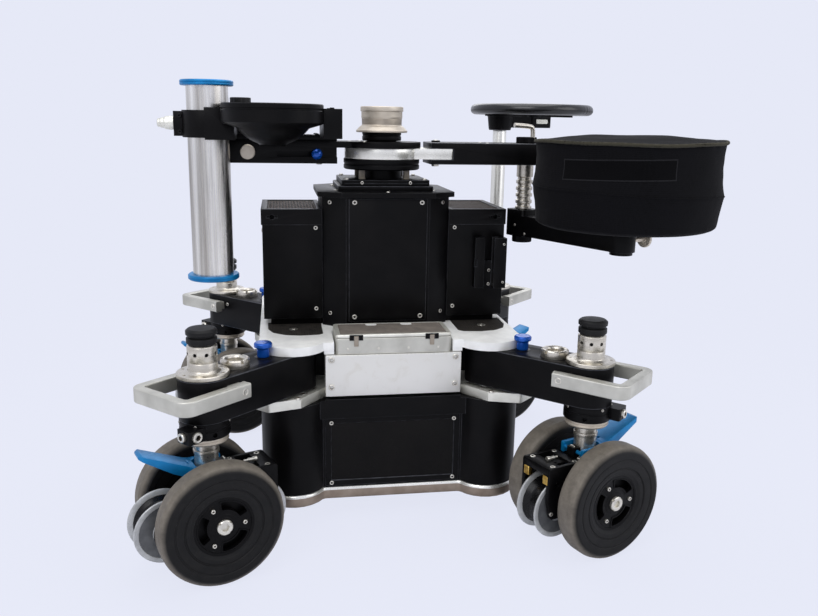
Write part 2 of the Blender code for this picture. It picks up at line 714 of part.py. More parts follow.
# Seat: grooved post, arm and cushion
postFrame = frame("seat_post_axis", seatTurn, (seatPostX, 0, 0))
profile = [(0, 721 * mm), (seatPostRadius, 721 * mm)]
grooveDepth = 3 * mm
groovePitch = 13.5 * mm
for k in range(5):
    z = 641 * mm - k * groovePitch
    profile += [(seatPostRadius, z), (seatPostRadius - grooveDepth, z - 3 * mm), (seatPostRadius, z - 6 * mm)]
spigot = 12 * mm
profile += [(seatPostRadius, seatBlockTop + gap), (spigot, seatBlockTop + gap),
            (spigot, seatArmBottom - 2 * mm - gap), (20.5 * mm, seatArmBottom - 2 * mm - gap),
            (20.5 * mm, seatArmBottom - 16 * mm), (0, seatArmBottom - 16 * mm)]
post = turned("post", profile, 12, closed=False)
piece("seat_post", post, material("post_chromed_steel", silverMetal, 0.2, 1.0), postFrame)

armFrame = frame("seat_arm_axis", postFrame, turn=seatArmAngle)
arm = slab("arm", stadium(seatArmReach, 25 * mm, 14), seatArmBottom, seatBottom - gap)
join(arm, slab("block", rounded(26 * mm, 25 * mm, 7 * mm, 1, 1 * mm, 0), seatArmBottom - 2 * mm, seatBlockTop))
spindle = 10 * mm
hub = rod("hub", 21 * mm, seatArmBottom - 6 * mm, seatArmBottom + 2 * mm, 16, seatArmReach, 0)
join(arm, hub)
stud = rod("stud", 8 * mm, 0, 24 * mm, 12)
place(stud, (seatArmReach, 20 * mm, seatArmBottom + 19 * mm), "X", -pi / 2)
join(arm, stud)
cut(arm, rod("bore", boreFor(spigot, 16), 0.4, 0.7, 16), rod("bore", boreFor(spindle, 28), 0.54, 0.7, 28, seatArmReach, 0))
piece("seat_arm", arm, material("seat_arm_black_anodised", blackAnodised, 0.35), armFrame)

cushionFrame = frame("seat_spin_axis", armFrame, (seatArmReach, 0, 0))


# The drum's outline, as shares of its height and radius: hem, lower panel, ridge at the seam,
# upper panel, piping and domed crown
drum = [(0.0, 0.62), (0.035, 0.825), (0.075, 0.918), (0.125, 0.962), (0.24, 0.974), (0.36, 0.979),
        (0.41, 0.994), (0.441, 1.0), (0.47, 0.991), (0.53, 0.968), (0.66, 0.959), (0.80, 0.962),
        (0.868, 0.974), (0.876, 0.994), (0.914, 0.994), (0.925, 0.976), (0.945, 0.918), (0.968, 0.79),
        (0.985, 0.62), (0.995, 0.32)]
profile = [(0, seatBottom - 12 * mm), (spindle, seatBottom - 12 * mm), (spindle, seatBottom)]
profile += [(seatRadius * r, seatBottom + seatHeight * h) for h, r in drum]
profile.append((0, seatBottom + seatHeight))
cushion = turned("cushion", list(reversed(profile)), 24, closed=False)
piece("seat_cushion", cushion, material("cushion_charcoal_fabric", (0.03, 0.03, 0.033), 0.9), cushionFrame)

# Wheel units: meshes made once and shared by the four corners


def makeWheel():
    half = tyreWidth / 2
    web = hubFaceOut - 2 * mm
    bore = boreFor(axleRadius, wheelSides)
    profile = [(bore, web), (rimRadius - 3 * mm, web), (tyreRadius - tyreShoulder, half),
               (tyreRadius, half - tyreCrown), (tyreRadius, tyreCrown - half),
               (tyreRadius - tyreShoulder, -half), (rimRadius - 3 * mm, web - hubWeb), (bore, web - hubWeb)]
    wheel = turned("wheel", profile, wheelSides)
    windows = []
    for k in range(3):
        start = 2 * pi * k / 3 + radians(22)
        end = start + radians(76)
        steps = 2
        outerArc = [((rimRadius - 9 * mm) * cos(start + (end - start) * j / steps),
                     (rimRadius - 9 * mm) * sin(start + (end - start) * j / steps)) for j in range(steps + 1)]
        innerArc = [((hubBoss + 6 * mm) * cos(a), (hubBoss + 6 * mm) * sin(a)) for a in (end, start)]
        windows.append(slab("window", outerArc + innerArc, -0.002, 0.05))
    cut(wheel, *windows)
    return place(wheel, axis="X", angle=pi / 2)


def makeRoller():
    profile = [(boreFor(rollerAxle, rollerSides), rollerHalf), (rollerRadius, rollerHalf),
               (rollerRadius, rollerHalf - rollerFlange), (rollerDrum, rollerHalf * 0.4)]
    profile += [(r, -y) for r, y in reversed(profile)]
    return place(turned("roller", profile, rollerSides), axis="X", angle=pi / 2)


def polygonPlate(name, points, near, far):
    # A plate cut from an outline of (run, height), standing between two sides of the unit
    plate = slab(name, points, near, far)
    return place(plate, axis="X", angle=pi / 2)


def makeTruck(tall):
    # Kingpin, crosshead, two cheek plates, yoke and both axles in one weldment
    if tall:
        top = [(0, steerTop), (steerTube, steerTop), (steerTube, postTop), (postRadius, postTop)]
    else:
        top = [(0, capDiscTop), (26 * mm, capDiscTop), (26 * mm, capDiscTop - 9 * mm),
               (14 * mm, capDiscTop - 11 * mm), (14 * mm, postTop + 7 * mm), (postRadius, postTop + 4 * mm)]
    profile = top + [(postRadius, postFlangeTop), (postFlange, postFlangeTop), (postFlange, armTop + gap),
                     (shaftRadius, armTop + gap), (shaftRadius, housingBottom - gap),
                     (collarRadius, housingBottom - gap), (collarRadius, collarBottom),
                     (shaftRadius, collarBottom), (shaftRadius, crossheadTop - 5 * mm),
                     (0, crossheadTop - 5 * mm)]
    truck = turned("kingpin", profile, 14, closed=False)
    cheek = [(-112, 172), (-40, 172), (-34, 158), (22, 158), (34, 120), (100, 98), (100, 76), (-104, 76),
             (-112, 112)]
    cheek = [(x * mm, z * mm) for x, z in cheek]
    parts = [box("crosshead", (-40 * mm, -29.5 * mm, 136 * mm), (24 * mm, 29.5 * mm, crossheadTop))]
    for side in (-1, 1):
        near = min(side * 29 * mm, side * 36 * mm)
        far = max(side * 29 * mm, side * 36 * mm)
        parts.append(polygonPlate("cheek", cheek, near, far))
    parts.append(box("yoke", (-111 * mm, -35 * mm, 158 * mm), (-84 * mm, 35 * mm, 171 * mm)))
    parts.append(box("yoke", (-56 * mm, -34.9 * mm, 157 * mm), (-39 * mm, 34.9 * mm, 170.9 * mm)))
    parts.append(box("ear", (-34 * mm, -9 * mm, crossheadTop - 2 * mm), (-12 * mm, 9 * mm, 186 * mm)))
    parts.append(box("spine", (-86 * mm, -12 * mm, 159 * mm), (-54 * mm, 12 * mm, 167 * mm)))
    axleEnd = tyreOffset + hubFaceOut
    axle = rod("axle", axleRadius, -axleEnd, axleEnd, 10)
    parts.append(place(axle, (0, 0, tyreRadius), "X", pi / 2))
    reach = tyreOffset + hubFaceOut - 2 * mm - hubWeb - gap
    shoulder = rod("shoulder", 15 * mm, -reach, reach, 10)
    parts.append(place(shoulder, (0, 0, tyreRadius), "X", pi / 2))
    for side in (-1, 1):
        nut = rod("nut", axleNut, axleEnd - 2 * mm + gap, axleEnd + 5 * mm, 8)
        parts.append(place(nut, (0, 0, tyreRadius), "X", side * pi / 2))
        bar = rod("bar", rollerAxle, -35 * mm, 35 * mm, 6)
        parts.append(place(bar, (side * rollerOffset, 0, rollerHeight), "X", pi / 2))
    join(truck, *parts)
    pin = rod("pin", boreFor(pedalPin, 8), -0.03, 0.03, 8)
    cut(truck, place(pin, (pedalPivotX, 0, pedalPivotZ), "X", pi / 2))
    return truck


pedalPin = 3.5 * mm
pedalPivotX = -26 * mm
pedalPivotZ = 178 * mm


def makePedal():
    # Lever with a fork round the kingpin, a skirt on both sides and a tapered tread plate
    outline = [(-30, 168), (-30, 187), (24, 187.5), (108, 223), (114, 222), (114, 218), (60, 184), (24, 168)]
    outline = [(x * mm - pedalPivotX, z * mm - pedalPivotZ) for x, z in outline]
    lever = polygonPlate("lever", outline, -29 * mm, 29 * mm)
    trimLine = [(-60, -29), (20, -29), (36, -22), (108, -19.5), (115, -12), (115, 12), (108, 19.5), (36, 22),
                (20, 29), (-60, 29)]
    trimLine = [(x * mm - pedalPivotX, y * mm) for x, y in trimLine]
    keepShape = slab("plan", trimLine, -0.05, 0.08)
    combine(lever, [keepShape], "INTERSECT")
    slotX = 23 * mm - pedalPivotX
    fork = slab("fork", [(-0.02, -22 * mm), (slotX - 8 * mm, -22 * mm), (slotX, -14 * mm), (slotX, 14 * mm),
                         (slotX - 8 * mm, 22 * mm), (-0.02, 22 * mm)], -0.05, 0.05)
    under = [(44, 150), (34, 176), (44, 187), (100, 211), (112, 214), (112, 150)]
    under = [(x * mm - pedalPivotX, z * mm - pedalPivotZ) for x, z in under]
    hollow = polygonPlate("under", under, -13 * mm, 13 * mm)
    cut(lever, fork, hollow)
    pin = rod("pin", pedalPin, -23 * mm, 23 * mm, 8)
    return join(lever, place(pin, axis="X", angle=pi / 2))


def makeArm():
    # Box beam with round ends, the kingpin housing below it and the ring nut on top
    beam = slab("beam", stadium(armReach, armHalf, 16), armBottom, armTop)
    ringNutX = armReach - 69.5 * mm
    parts = [
        rod("housing", housingRadius, housingBottom, armBottom + 1 * mm, 16, armReach, 0),
        rod("ring nut", 25 * mm, armTop - 1 * mm, 352 * mm, 16, ringNutX, 0),
        box("lug", (armReach + 30 * mm, 8 * mm, 243 * mm), (armReach + 60 * mm, 30 * mm, 258 * mm)),
    ]
    join(beam, *parts)
    return cut(beam,
               rod("pivot", boreFor(pivotPin, 16), 0.2, 0.4, 16),
               rod("kingpin", boreFor(shaftRadius, 16), 0.2, 0.4, 16, armReach, 0),
               rod("recess", 15 * mm, 0.342, 0.4, 12, ringNutX, 0),
               rod("lock", boreFor(lockPin, 8), 0.2, 0.4, 8, lockReach, 0))


def makeHandle():
    # U-shaped grab bar round the outer end of the arm, on a boss at each side
    far = armReach + handleReach
    bend = 13 * mm
    path = [(armReach - 40 * mm, handleWide)]
    for k in range(4):
        a = pi / 2 - (pi / 2) * k / 3
        path.append((far - bend + bend * cos(a), handleWide - bend + bend * sin(a)))
    path += [(x, -y) for x, y in reversed(path)]
    path = [(x, y, handleLevel) for x, y in path]
    bar = swept("handle", path, rounded(9 * mm, 12.3 * mm, 3 * mm, 1))
    for side in (-1, 1):
        join(bar, box("boss", (armReach - 38 * mm, side * (armHalf + gap), handleLevel - 9 * mm),
                      (armReach - 12 * mm, side * handleWide, handleLevel + 9 * mm)))
    return bar


def makeLock():
    # Pull pin: a flanged knob on a stem, and the index pin below it
    top = 365.5 * mm
    return turned("lock", [(0, top), (14 * mm, top), (14 * mm, top - 6 * mm),
                           (9.5 * mm, top - 9 * mm), (9 * mm, armTop + gap), (lockPin, armTop + gap),
                           (lockPin, armBottom + 3 * mm), (lockPin - 2 * mm, armBottom + gap),
                           (0, armBottom + gap)], 12, closed=False)


wheelShape = makeWheel()
rollerShape = makeRoller()
truckShape = makeTruck(False)
steerTruckShape = makeTruck(True)
pedalShape = makePedal()
armShape = makeArm()
handleShape = makeHandle()
lockShape = makeLock()

rubber = material("tyre_rubber", rubberBlack, 0.8)
rollerMat = material("roller_steel_and_nylon", (0.05, 0.05, 0.055), 0.4)
truckMat = material("truck_black_and_steel", (0.06, 0.06, 0.065), 0.4, 0.5)
pedalMat = material("pedal_blue_anodised", bluePaint, 0.35)
armMat = material("arm_black_anodised", blackAnodised, 0.35)
handleMat = material("handle_satin_aluminium", silverMetal, 0.35, 1.0)
lockMat = material("lock_blue_anodised", bluePaint, 0.3)

corners = (("fl", -1, -1), ("fr", 1, -1), ("rl", -1, 1), ("rr", 1, 1))
for corner, signX, signY in corners:
    armTurn = atan2(signY, signX)
    pivot = frame("arm_axis_" + corner, root, (signX * pivotHalf, signY * pivotHalf, 0), armTurn)
    piece("arm_" + corner, armShape, armMat, pivot, scrap=False)
    piece("handle_" + corner, handleShape, handleMat, pivot, scrap=False)
    piece("lock_pin_" + corner, lockShape, lockMat, pivot, (lockReach, 0, 0), scrap=False)
    heading = crabAngle if signX > 0 else crabAngle + pi
    king = frame("kingpin_axis_" + corner, pivot, (armReach, 0, 0), heading - armTurn)
    shape = steerTruckShape if corner == "rr" else truckShape
    piece("truck_" + corner, shape, truckMat, king, scrap=False)
    piece("wheel_" + corner + "_a", wheelShape, rubber, king, (0, -tyreOffset, tyreRadius), scrap=False)
    piece("wheel_" + corner + "_b", wheelShape, rubber, king, (0, tyreOffset, tyreRadius), (0, 0, pi), scrap=False)
    for side, end in ((1, "out"), (-1, "in")):
        piece("roller_" + corner + "_" + end, rollerShape, rollerMat, king,
              (side * rollerOffset, 0, rollerHeight), scrap=False)
    piece("pedal_" + corner, pedalShape, pedalMat, king, (pedalPivotX, 0, pedalPivotZ), scrap=False)

# Steering wheel on the tall kingpin: an offset rim, its hub and the spoke below it
steerFrame = bpy.data.objects["kingpin_axis_rr"]
rimRing = turned("rim", [(rimMajor + rimMinor * cos(2 * pi * k / 7), rimLevel + rimMinor * sin(2 * pi * k / 7))
                         for k in range(7)], 24)
place(rimRing, (rimOffset, 0, 0))
hubRadius = 32 * mm
hub = turned("hub", [(0, rimLevel + 4 * mm), (22 * mm, rimLevel + 4 * mm), (hubRadius, rimLevel - 6 * mm),
                     (hubRadius - 2 * mm, steerTop + gap), (0, steerTop + gap)], 16, closed=False)
spoke = box("spoke", (10 * mm, -15 * mm, steerTop + 5 * mm), (150 * mm, 15 * mm, rimLevel - 16 * mm))
soften(spoke, 5 * mm, 1)
cradle = box("cradle", (rimOffset - 134 * mm, -12 * mm, rimLevel - 17 * mm),
             (rimOffset + 128 * mm, 12 * mm, rimLevel - 3 * mm))
webs = box("web", (rimOffset - 12 * mm, -130 * mm, rimLevel - 7 * mm),
           (rimOffset + 12 * mm, 130 * mm, rimLevel + 3 * mm))
join(rimRing, hub, spoke, cradle, webs)
piece("steering_wheel", rimRing, material("steering_black_leather", (0.025, 0.024, 0.023), 0.6), steerFrame)

for shape in (wheelShape, rollerShape, truckShape, steerTruckShape, pedalShape, armShape, handleShape, lockShape):
    bpy.data.objects.remove(shape, do_unlink=True)
bpy.data.collections.remove(cutters)
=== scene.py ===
from math import pi, sin, cos, tan, sqrt, atan2, radians, hypot
import bpy
import bmesh
from mathutils import Matrix, Vector, noise
from mathutils.bvhtree import BVHTree


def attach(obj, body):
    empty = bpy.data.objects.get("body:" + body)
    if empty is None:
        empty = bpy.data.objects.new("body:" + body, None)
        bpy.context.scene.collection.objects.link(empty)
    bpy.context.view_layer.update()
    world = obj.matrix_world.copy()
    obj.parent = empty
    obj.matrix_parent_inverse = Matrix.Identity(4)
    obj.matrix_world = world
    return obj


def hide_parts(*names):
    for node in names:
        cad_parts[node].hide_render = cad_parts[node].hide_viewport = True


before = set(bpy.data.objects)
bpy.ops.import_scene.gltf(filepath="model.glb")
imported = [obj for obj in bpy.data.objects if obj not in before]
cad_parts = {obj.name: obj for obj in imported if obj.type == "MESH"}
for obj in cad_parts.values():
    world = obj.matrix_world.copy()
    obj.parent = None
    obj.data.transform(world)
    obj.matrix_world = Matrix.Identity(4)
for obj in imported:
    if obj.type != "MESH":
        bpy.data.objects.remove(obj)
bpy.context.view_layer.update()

print("stage: frame loaded, nodes:", len(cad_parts))

scene = bpy.context.scene
scene.view_settings.view_transform = "Standard"
workshop = bpy.data.collections.new("workshop")    # shapes in the making, emptied as they are used
scene.collection.children.link(workshop)

# The column's axis in the shared frame. Shapes are made in millimetres about it.
layout = {
    "columnAxis": (-60.9, -32.9),
    "pivotHalf": 185.0,
    "kingpinHalf": 334.0,
    "crabAngle": radians(21.8),
    "seatPostX": 300.0,
    "seatArmAngle": radians(-64),
    "seatArmReach": 267.0,
}
columnFrame = Matrix.Translation((layout["columnAxis"][0] / 1000, layout["columnAxis"][1] / 1000, 0))
corners = (("fl", -1, -1), ("fr", 1, -1), ("rl", -1, 1), ("rr", 1, 1))
quarters = [(x, y) for x in (-1, 1) for y in (-1, 1)]


def shift(x=0.0, y=0.0, z=0.0):
    return Matrix.Translation((x, y, z))


def turn(angle, axis="Z"):
    return Matrix.Rotation(angle, 4, axis)


def inMetres(x, y, z=0.0):
    return shift(x / 1000, y / 1000, z / 1000)


def cornerPoint(corner, u, v):
    # A point u beyond an arm's pivot along its diagonal, and v to its left
    angle = -pi / 4 + corner * pi / 2
    x = layout["pivotHalf"] * sqrt(2) + u
    return x * cos(angle) - v * sin(angle), x * sin(angle) + v * cos(angle)


# Shapes: each call gives a working object with its mesh in millimetres

def working(bm):
    bmesh.ops.recalc_face_normals(bm, faces=bm.faces)
    return wrapped(bm)


def wrapped(bm):
    # An object round the mesh, with room for a first and a second finish
    mesh = bpy.data.meshes.new("shape")
    bm.to_mesh(mesh)
    bm.free()
    for slot in range(2):
        mesh.materials.append(None)
    shape = bpy.data.objects.new("shape", mesh)
    workshop.objects.link(shape)
    return shape


def fromLists(verts, faces):
    bm = bmesh.new()
    made = [bm.verts.new(v) for v in verts]
    for face in faces:
        bm.faces.new([made[k] for k in face])
    return working(bm)


def fillet(points, radius=0.0, steps=4, closed=True):
    # Rounds the corners of an outline; a point may carry its own radius as a third number
    rounded = []
    count = len(points)
    for k, point in enumerate(points):
        corner = Vector(point[:2])
        size = point[2] if len(point) > 2 else radius
        ahead = Vector(points[(k + 1) % count][:2]) - corner
        behind = Vector(points[k - 1][:2]) - corner
        ends = not closed and k in (0, count - 1)
        if size <= 0 or ends or ahead.length < 1e-6 or behind.length < 1e-6:
            rounded.append(tuple(corner))
            continue
        half = ahead.angle(behind) / 2
        if half > radians(88):
            rounded.append(tuple(corner))
            continue
        reach = min(size / tan(half), ahead.length * 0.49, behind.length * 0.49)
        for j in range(steps + 1):
            t = j / steps
            rounded.append(tuple(corner + behind.normalized() * reach * (1 - t) ** 2
                                 + ahead.normalized() * reach * t ** 2))
    return rounded


def slab(outline, low, high):
    bm = bmesh.new()
    face = bm.faces.new([bm.verts.new((p[0], p[1], low)) for p in outline])
    raised = bmesh.ops.extrude_face_region(bm, geom=[face])
    verts = [part for part in raised["geom"] if isinstance(part, bmesh.types.BMVert)]
    bmesh.ops.translate(bm, verts=verts, vec=(0, 0, high - low))
    return working(bm)


def box(low, high):
    (lowX, highX), (lowY, highY) = (sorted(pair) for pair in zip(low[:2], high[:2]))
    return slab([(lowX, lowY), (highX, lowY), (highX, highY), (lowX, highY)], low[2], high[2])


def squareBox(half, low, high):
    return box((-half, -half, low), (half, half, high))


def roundRect(lowX, lowY, highX, highY, radius, steps=5):
    return fillet([(lowX, lowY), (highX, lowY), (highX, highY), (lowX, highY)], radius, steps)


def centredRect(halfX, halfY, radius, steps=5):
    return roundRect(-halfX, -halfY, halfX, halfY, radius, steps)


def circle(radius, steps=48, x=0.0, y=0.0, start=0.0):
    return [(x + radius * cos(start + 2 * pi * k / steps), y + radius * sin(start + 2 * pi * k / steps))
            for k in range(steps)]


def lathe(profile, steps=48, closed=False):
    # Rings of (radius, height); a third number makes that ring a polygon of so many sides
    verts = []
    faces = []
    rings = []
    for point in profile:
        radius, height = point[:2]
        sides = point[2] if len(point) > 2 else 0
        if radius < 1e-6:
            rings.append([len(verts)])
            verts.append((0, 0, height))
            continue
        rings.append(list(range(len(verts), len(verts) + steps)))
        for k in range(steps):
            a = 2 * pi * k / steps
            r = radius
            if sides:
                r *= cos(pi / sides) / cos(a % (2 * pi / sides) - pi / sides)
            verts.append((r * cos(a), r * sin(a), height))
    pairs = list(zip(rings, rings[1:]))
    if closed:
        pairs.append((rings[-1], rings[0]))
    for low, high in pairs:
        for k in range(steps):
            j = (k + 1) % steps
            start = low if len(low) == 1 else [low[k], low[j]]
            end = high if len(high) == 1 else [high[j], high[k]]
            if len(start) + len(end) > 2:
                faces.append(start + end)
    return fromLists(verts, faces)


def rod(radius, low, high, steps=24):
    return lathe([(0, low), (radius, low), (radius, high), (0, high)], steps)


def spun(points, steps, radius=0.0, arc=2, closed=False):
    # An outline rounded at its corners, then spun round the axis
    return lathe(fillet(points, radius, arc, closed), steps, closed)


def tubeFaces(count, size, closed=True):
    # Quads between one ring of points and the next
    faces = []
    for k in range(count if closed else count - 1):
        j = (k + 1) % count
        for m in range(size):
            n = (m + 1) % size
            faces.append((k * size + m, j * size + m, j * size + n, k * size + n))
    return faces


def railAlong(path, section):
    # A section of (out, up) carried along a flat path of (x, y), square to it at every point
    level = [Vector(point) for point in path]
    count = len(level)
    verts = []
    for k, point in enumerate(level):
        into = (point - level[k - 1]).normalized() if k else None
        out = (level[k + 1] - point).normalized() if k < count - 1 else into
        into = into or out
        along = (into + out).normalized()
        side = Vector((along.y, -along.x))
        spread = 1 / max(0.5, along.dot(into))
        for x, z in section:
            at = point + side * x * spread
            verts.append((at.x, at.y, z))
    size = len(section)
    ends = [tuple(range(size)), tuple(range((count - 1) * size, count * size))]
    return fromLists(verts, tubeFaces(count, size, False) + ends)


def evaluated(obj):
    # The mesh as the modifiers leave it
    bpy.context.view_layer.update()
    return bpy.data.meshes.new_from_object(obj.evaluated_get(bpy.context.evaluated_depsgraph_get()))


def pipe(points, radius, steps=10, smooth=3):
    # A round bar through points in space, its bends rounded by a spline
    curve = bpy.data.curves.new("shape", "CURVE")
    curve.dimensions = "3D"
    curve.bevel_depth = radius
    curve.bevel_resolution = max(1, steps // 4)
    curve.resolution_u = smooth
    curve.use_fill_caps = True
    spline = curve.splines.new("NURBS")
    spline.points.add(len(points) - 1)
    for point, at in zip(spline.points, points):
        point.co = (*at, 1)
    spline.use_endpoint_u = True
    spline.order_u = 3
    obj = bpy.data.objects.new("shape", curve)
    workshop.objects.link(obj)
    bm = bmesh.new()
    bm.from_mesh(evaluated(obj))
    bpy.data.objects.remove(obj, do_unlink=True)
    bmesh.ops.remove_doubles(bm, verts=bm.verts, dist=0.001)
    return working(bm)


def settle(shape):
    mesh = evaluated(shape)
    shape.modifiers.clear()
    shape.data = mesh
    return shape


def combined(shape, others, operation):
    for other in others:
        step = shape.modifiers.new("step", "BOOLEAN")
        step.operation = operation
        step.solver = "EXACT"
        step.object = other
    settle(shape)
    for other in others:
        bpy.data.objects.remove(other, do_unlink=True)
    bm = bmesh.new()
    bm.from_mesh(shape.data)
    bmesh.ops.remove_doubles(bm, verts=bm.verts, dist=0.002)
    bmesh.ops.dissolve_degenerate(bm, edges=bm.edges, dist=0.002)
    bm.to_mesh(shape.data)
    bm.free()
    return shape


def joined(shape, *others):
    return combined(shape, others, "UNION")


def cut(shape, *others):
    return combined(shape, others, "DIFFERENCE")


def softened(shape, width, steps=2, angle=35, bright=True):
    # Bevels the sharp edges; the new faces take the second finish where there is one, which for most pieces is a
    # lighter copy of the first: a painted highlight along the edges
    bevel = shape.modifiers.new("edges", "BEVEL")
    bevel.width = width
    bevel.segments = steps
    bevel.limit_method = "ANGLE"
    bevel.angle_limit = radians(angle)
    bevel.use_clamp_overlap = True
    bevel.miter_outer = "MITER_ARC"
    bevel.material = 1 if bright else -1
    return settle(shape)


def placed(shape, matrix):
    shape.data.transform(matrix)
    return shape


def gathered(shapes):
    # Several separate solids carried as one piece
    bm = bmesh.new()
    for shape in shapes:
        bm.from_mesh(shape.data)
        bpy.data.objects.remove(shape, do_unlink=True)
    return wrapped(bm)


def finished(shape, finish, angle=32):
    # The final mesh in metres, smooth but for its real edges; finish names one or two finishes
    words = finish.split()
    mesh = shape.data
    mesh.transform(Matrix.Scale(0.001, 4))
    while len(mesh.materials) > len(words):
        mesh.materials.pop()
    for k, word in enumerate(words):
        mesh.materials[k] = finishes[word]
    for face in mesh.polygons:
        face.use_smooth = True
        face.material_index = min(face.material_index, len(words) - 1)
    mesh.set_sharp_from_angle(angle=radians(angle))
    bpy.data.objects.remove(shape, do_unlink=True)
    return mesh


def addPiece(name, mesh, body, slotName, stands=(), at=columnFrame):
    # A turned piece takes the turn in its mesh, so that its box stays tight, unless its finish runs round its axis
    turned = at.to_3x3().to_4x4()
    if turned != Matrix.Identity(4) and not axialFinishes & {m.name for m in mesh.materials}:
        mesh = mesh.copy()
        mesh.transform(turned)
        at = Matrix.Translation(at.translation)
    if mesh.name.startswith("shape"):
        mesh.name = name
    piece = bpy.data.objects.new(name, mesh)
    scene.collection.objects.link(piece)
    piece.matrix_world = at
    bpy.context.view_layer.update()
    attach(piece, body)
    if stands:
        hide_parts(*stands)
    return piece


def addSet(body, rows, at=columnFrame):
    # Each row: name, shape, finishes, slot, then the frame's nodes that the piece stands for
    for name, shape, finish, slotName, *stands in rows:
        addPiece(name, finished(shape, finish), body, slotName, stands, at)


anodised = "black blackEdge"
screwed = "fastener socket"
axialFinishes = {"moulded_tyre_rubber", "turned_bright_steel", "brushed_stainless_steel"}


# Fasteners

def socketScrew(radius, height):
    # Cap screw with a hexagon socket whose inside is painted dark as painted shade, standing on the plane z = 0
    hexagon = radius * 0.56
    screw = lathe([(0, -0.6), (radius, -0.6), (radius, height - radius * 0.14), (radius * 0.86, height),
                   (hexagon * 1.04, height), (hexagon, height - 0.2, 6), (hexagon, height - radius * 0.6, 6),
                   (0, height - radius * 0.68)], 18)
    for face in screw.data.polygons:
        inside = hypot(face.center.x, face.center.y) < hexagon * 1.01
        face.material_index = 1 if inside and -0.6 < face.center.z < height - 0.1 else 0
    return screw


def hexNut(radius, height):
    return lathe([(0, -0.6), (radius, -0.6, 6), (radius, height * 0.8, 6), (radius * 0.88, height),
                  (radius * 0.55, height), (radius * 0.5, height - 0.4), (0, height - 0.4)], 18)


def facing(direction):
    return Vector((0, 0, 1)).rotation_difference(Vector(direction)).to_matrix().to_4x4()


def screwSet(spots):
    # Each spot: place, direction, head radius, head height
    return gathered([placed(socketScrew(radius, height), Matrix.Translation(at) @ facing(direction))
                     for at, direction, radius, height in spots])


# Finishes

def linear(code):
    # An sRGB hex colour as the shader wants it
    values = []
    for k in (0, 2, 4):
        c = int(code[k:k + 2], 16) / 255
        values.append(c / 12.92 if c <= 0.04045 else ((c + 0.055) / 1.055) ** 2.4)
    return (*values, 1.0)


def perMetre(millimetres):
    # A pattern's scale from the real size of one repeat
    return 1000.0 / millimetres


def outputOf(source):
    return source if isinstance(source, bpy.types.NodeSocket) else source.outputs[0]


def addNode(tree, kind, settings=None, links=None):
    node = tree.nodes.new("ShaderNode" + kind)
    for key, value in (settings or {}).items():
        if isinstance(key, int) or key in node.inputs:
            node.inputs[key].default_value = value
        else:
            setattr(node, key, value)
    for socket, source in (links or {}).items():
        tree.links.new(outputOf(source), node.inputs[socket])
    return node


def addNoise(tree, place, size, detail=2.0, **settings):
    # A noise whose blotches are about so many millimetres
    return addNode(tree, "TexNoise", {"Scale": perMetre(size), "Detail": detail, **settings}, {"Vector": place})


def addMath(tree, operation, *sources):
    return addNode(tree, "Math", {"operation": operation}, dict(enumerate(sources)))


def addBands(tree, place, pitch, axis, **settings):
    # Straight bands, so many millimetres apart, across one axis
    scale = perMetre(pitch) / 20 * pi
    return addNode(tree, "TexWave", {"Scale": scale, "bands_direction": axis, **settings},
                   {"Vector": place}).outputs["Fac"]


def addMix(tree, factor, low, high):
    mix = addNode(tree, "Mix", {"data_type": "RGBA"}, {"Factor": factor})
    for socket, colour in ((6, low), (7, high)):
        if isinstance(colour, tuple):
            mix.inputs[socket].default_value = colour
        else:
            tree.links.new(outputOf(colour), mix.inputs[socket])
    return mix.outputs[2]


def addRamp(tree, source, low, high, lowAt=0.3, highAt=0.7):
    ramp = addNode(tree, "ValToRGB", links={"Fac": source})
    for element, at, colour in zip(ramp.color_ramp.elements, (lowAt, highAt), (low, high)):
        element.position = at
        element.color = colour
    return ramp


def startFinish(name, **shaderValues):
    finish = bpy.data.materials.new(name)
    finish.use_nodes = True
    tree = finish.node_tree
    shader = tree.nodes["Principled BSDF"]
    for key, value in shaderValues.items():
        shader.inputs[key.replace("_", " ")].default_value = value
    return finish, tree, shader, addNode(tree, "TexCoord").outputs["Object"]


def feed(tree, shader, height, strength, relief, colour=None, gloss=None):
    # Relief in millimetres, with a colour and a roughness where the finish varies in them
    bump = addNode(tree, "Bump", {"Strength": strength, "Distance": relief / 1000}, {"Height": height})
    for socket, source in (("Base Color", colour), ("Roughness", gloss), ("Normal", bump)):
        if source:
            tree.links.new(outputOf(source), shader.inputs[socket])


def grey(value):
    return (value, value, value, 1.0)


def metalFinish(name, dark, light, roughness, spread, grain, mottle, relief, metallic, specular=0.5,
                stretch=(1, 1, 1)):
    # Fine grain from the blasting or brushing, over a slow change of tone
    finish, tree, shader, place = startFinish(name, Metallic=metallic, Specular_IOR_Level=specular)
    stretched = addNode(tree, "Mapping", {"Scale": stretch}, {"Vector": place})
    fine = addNoise(tree, stretched, grain, 3.0)
    slow = addNoise(tree, stretched, mottle, 4.0)
    feed(tree, shader, fine, 0.35, relief, addRamp(tree, slow, linear(dark), linear(light)),
         addRamp(tree, fine, grey(roughness - spread), grey(roughness + spread)))
    return finish


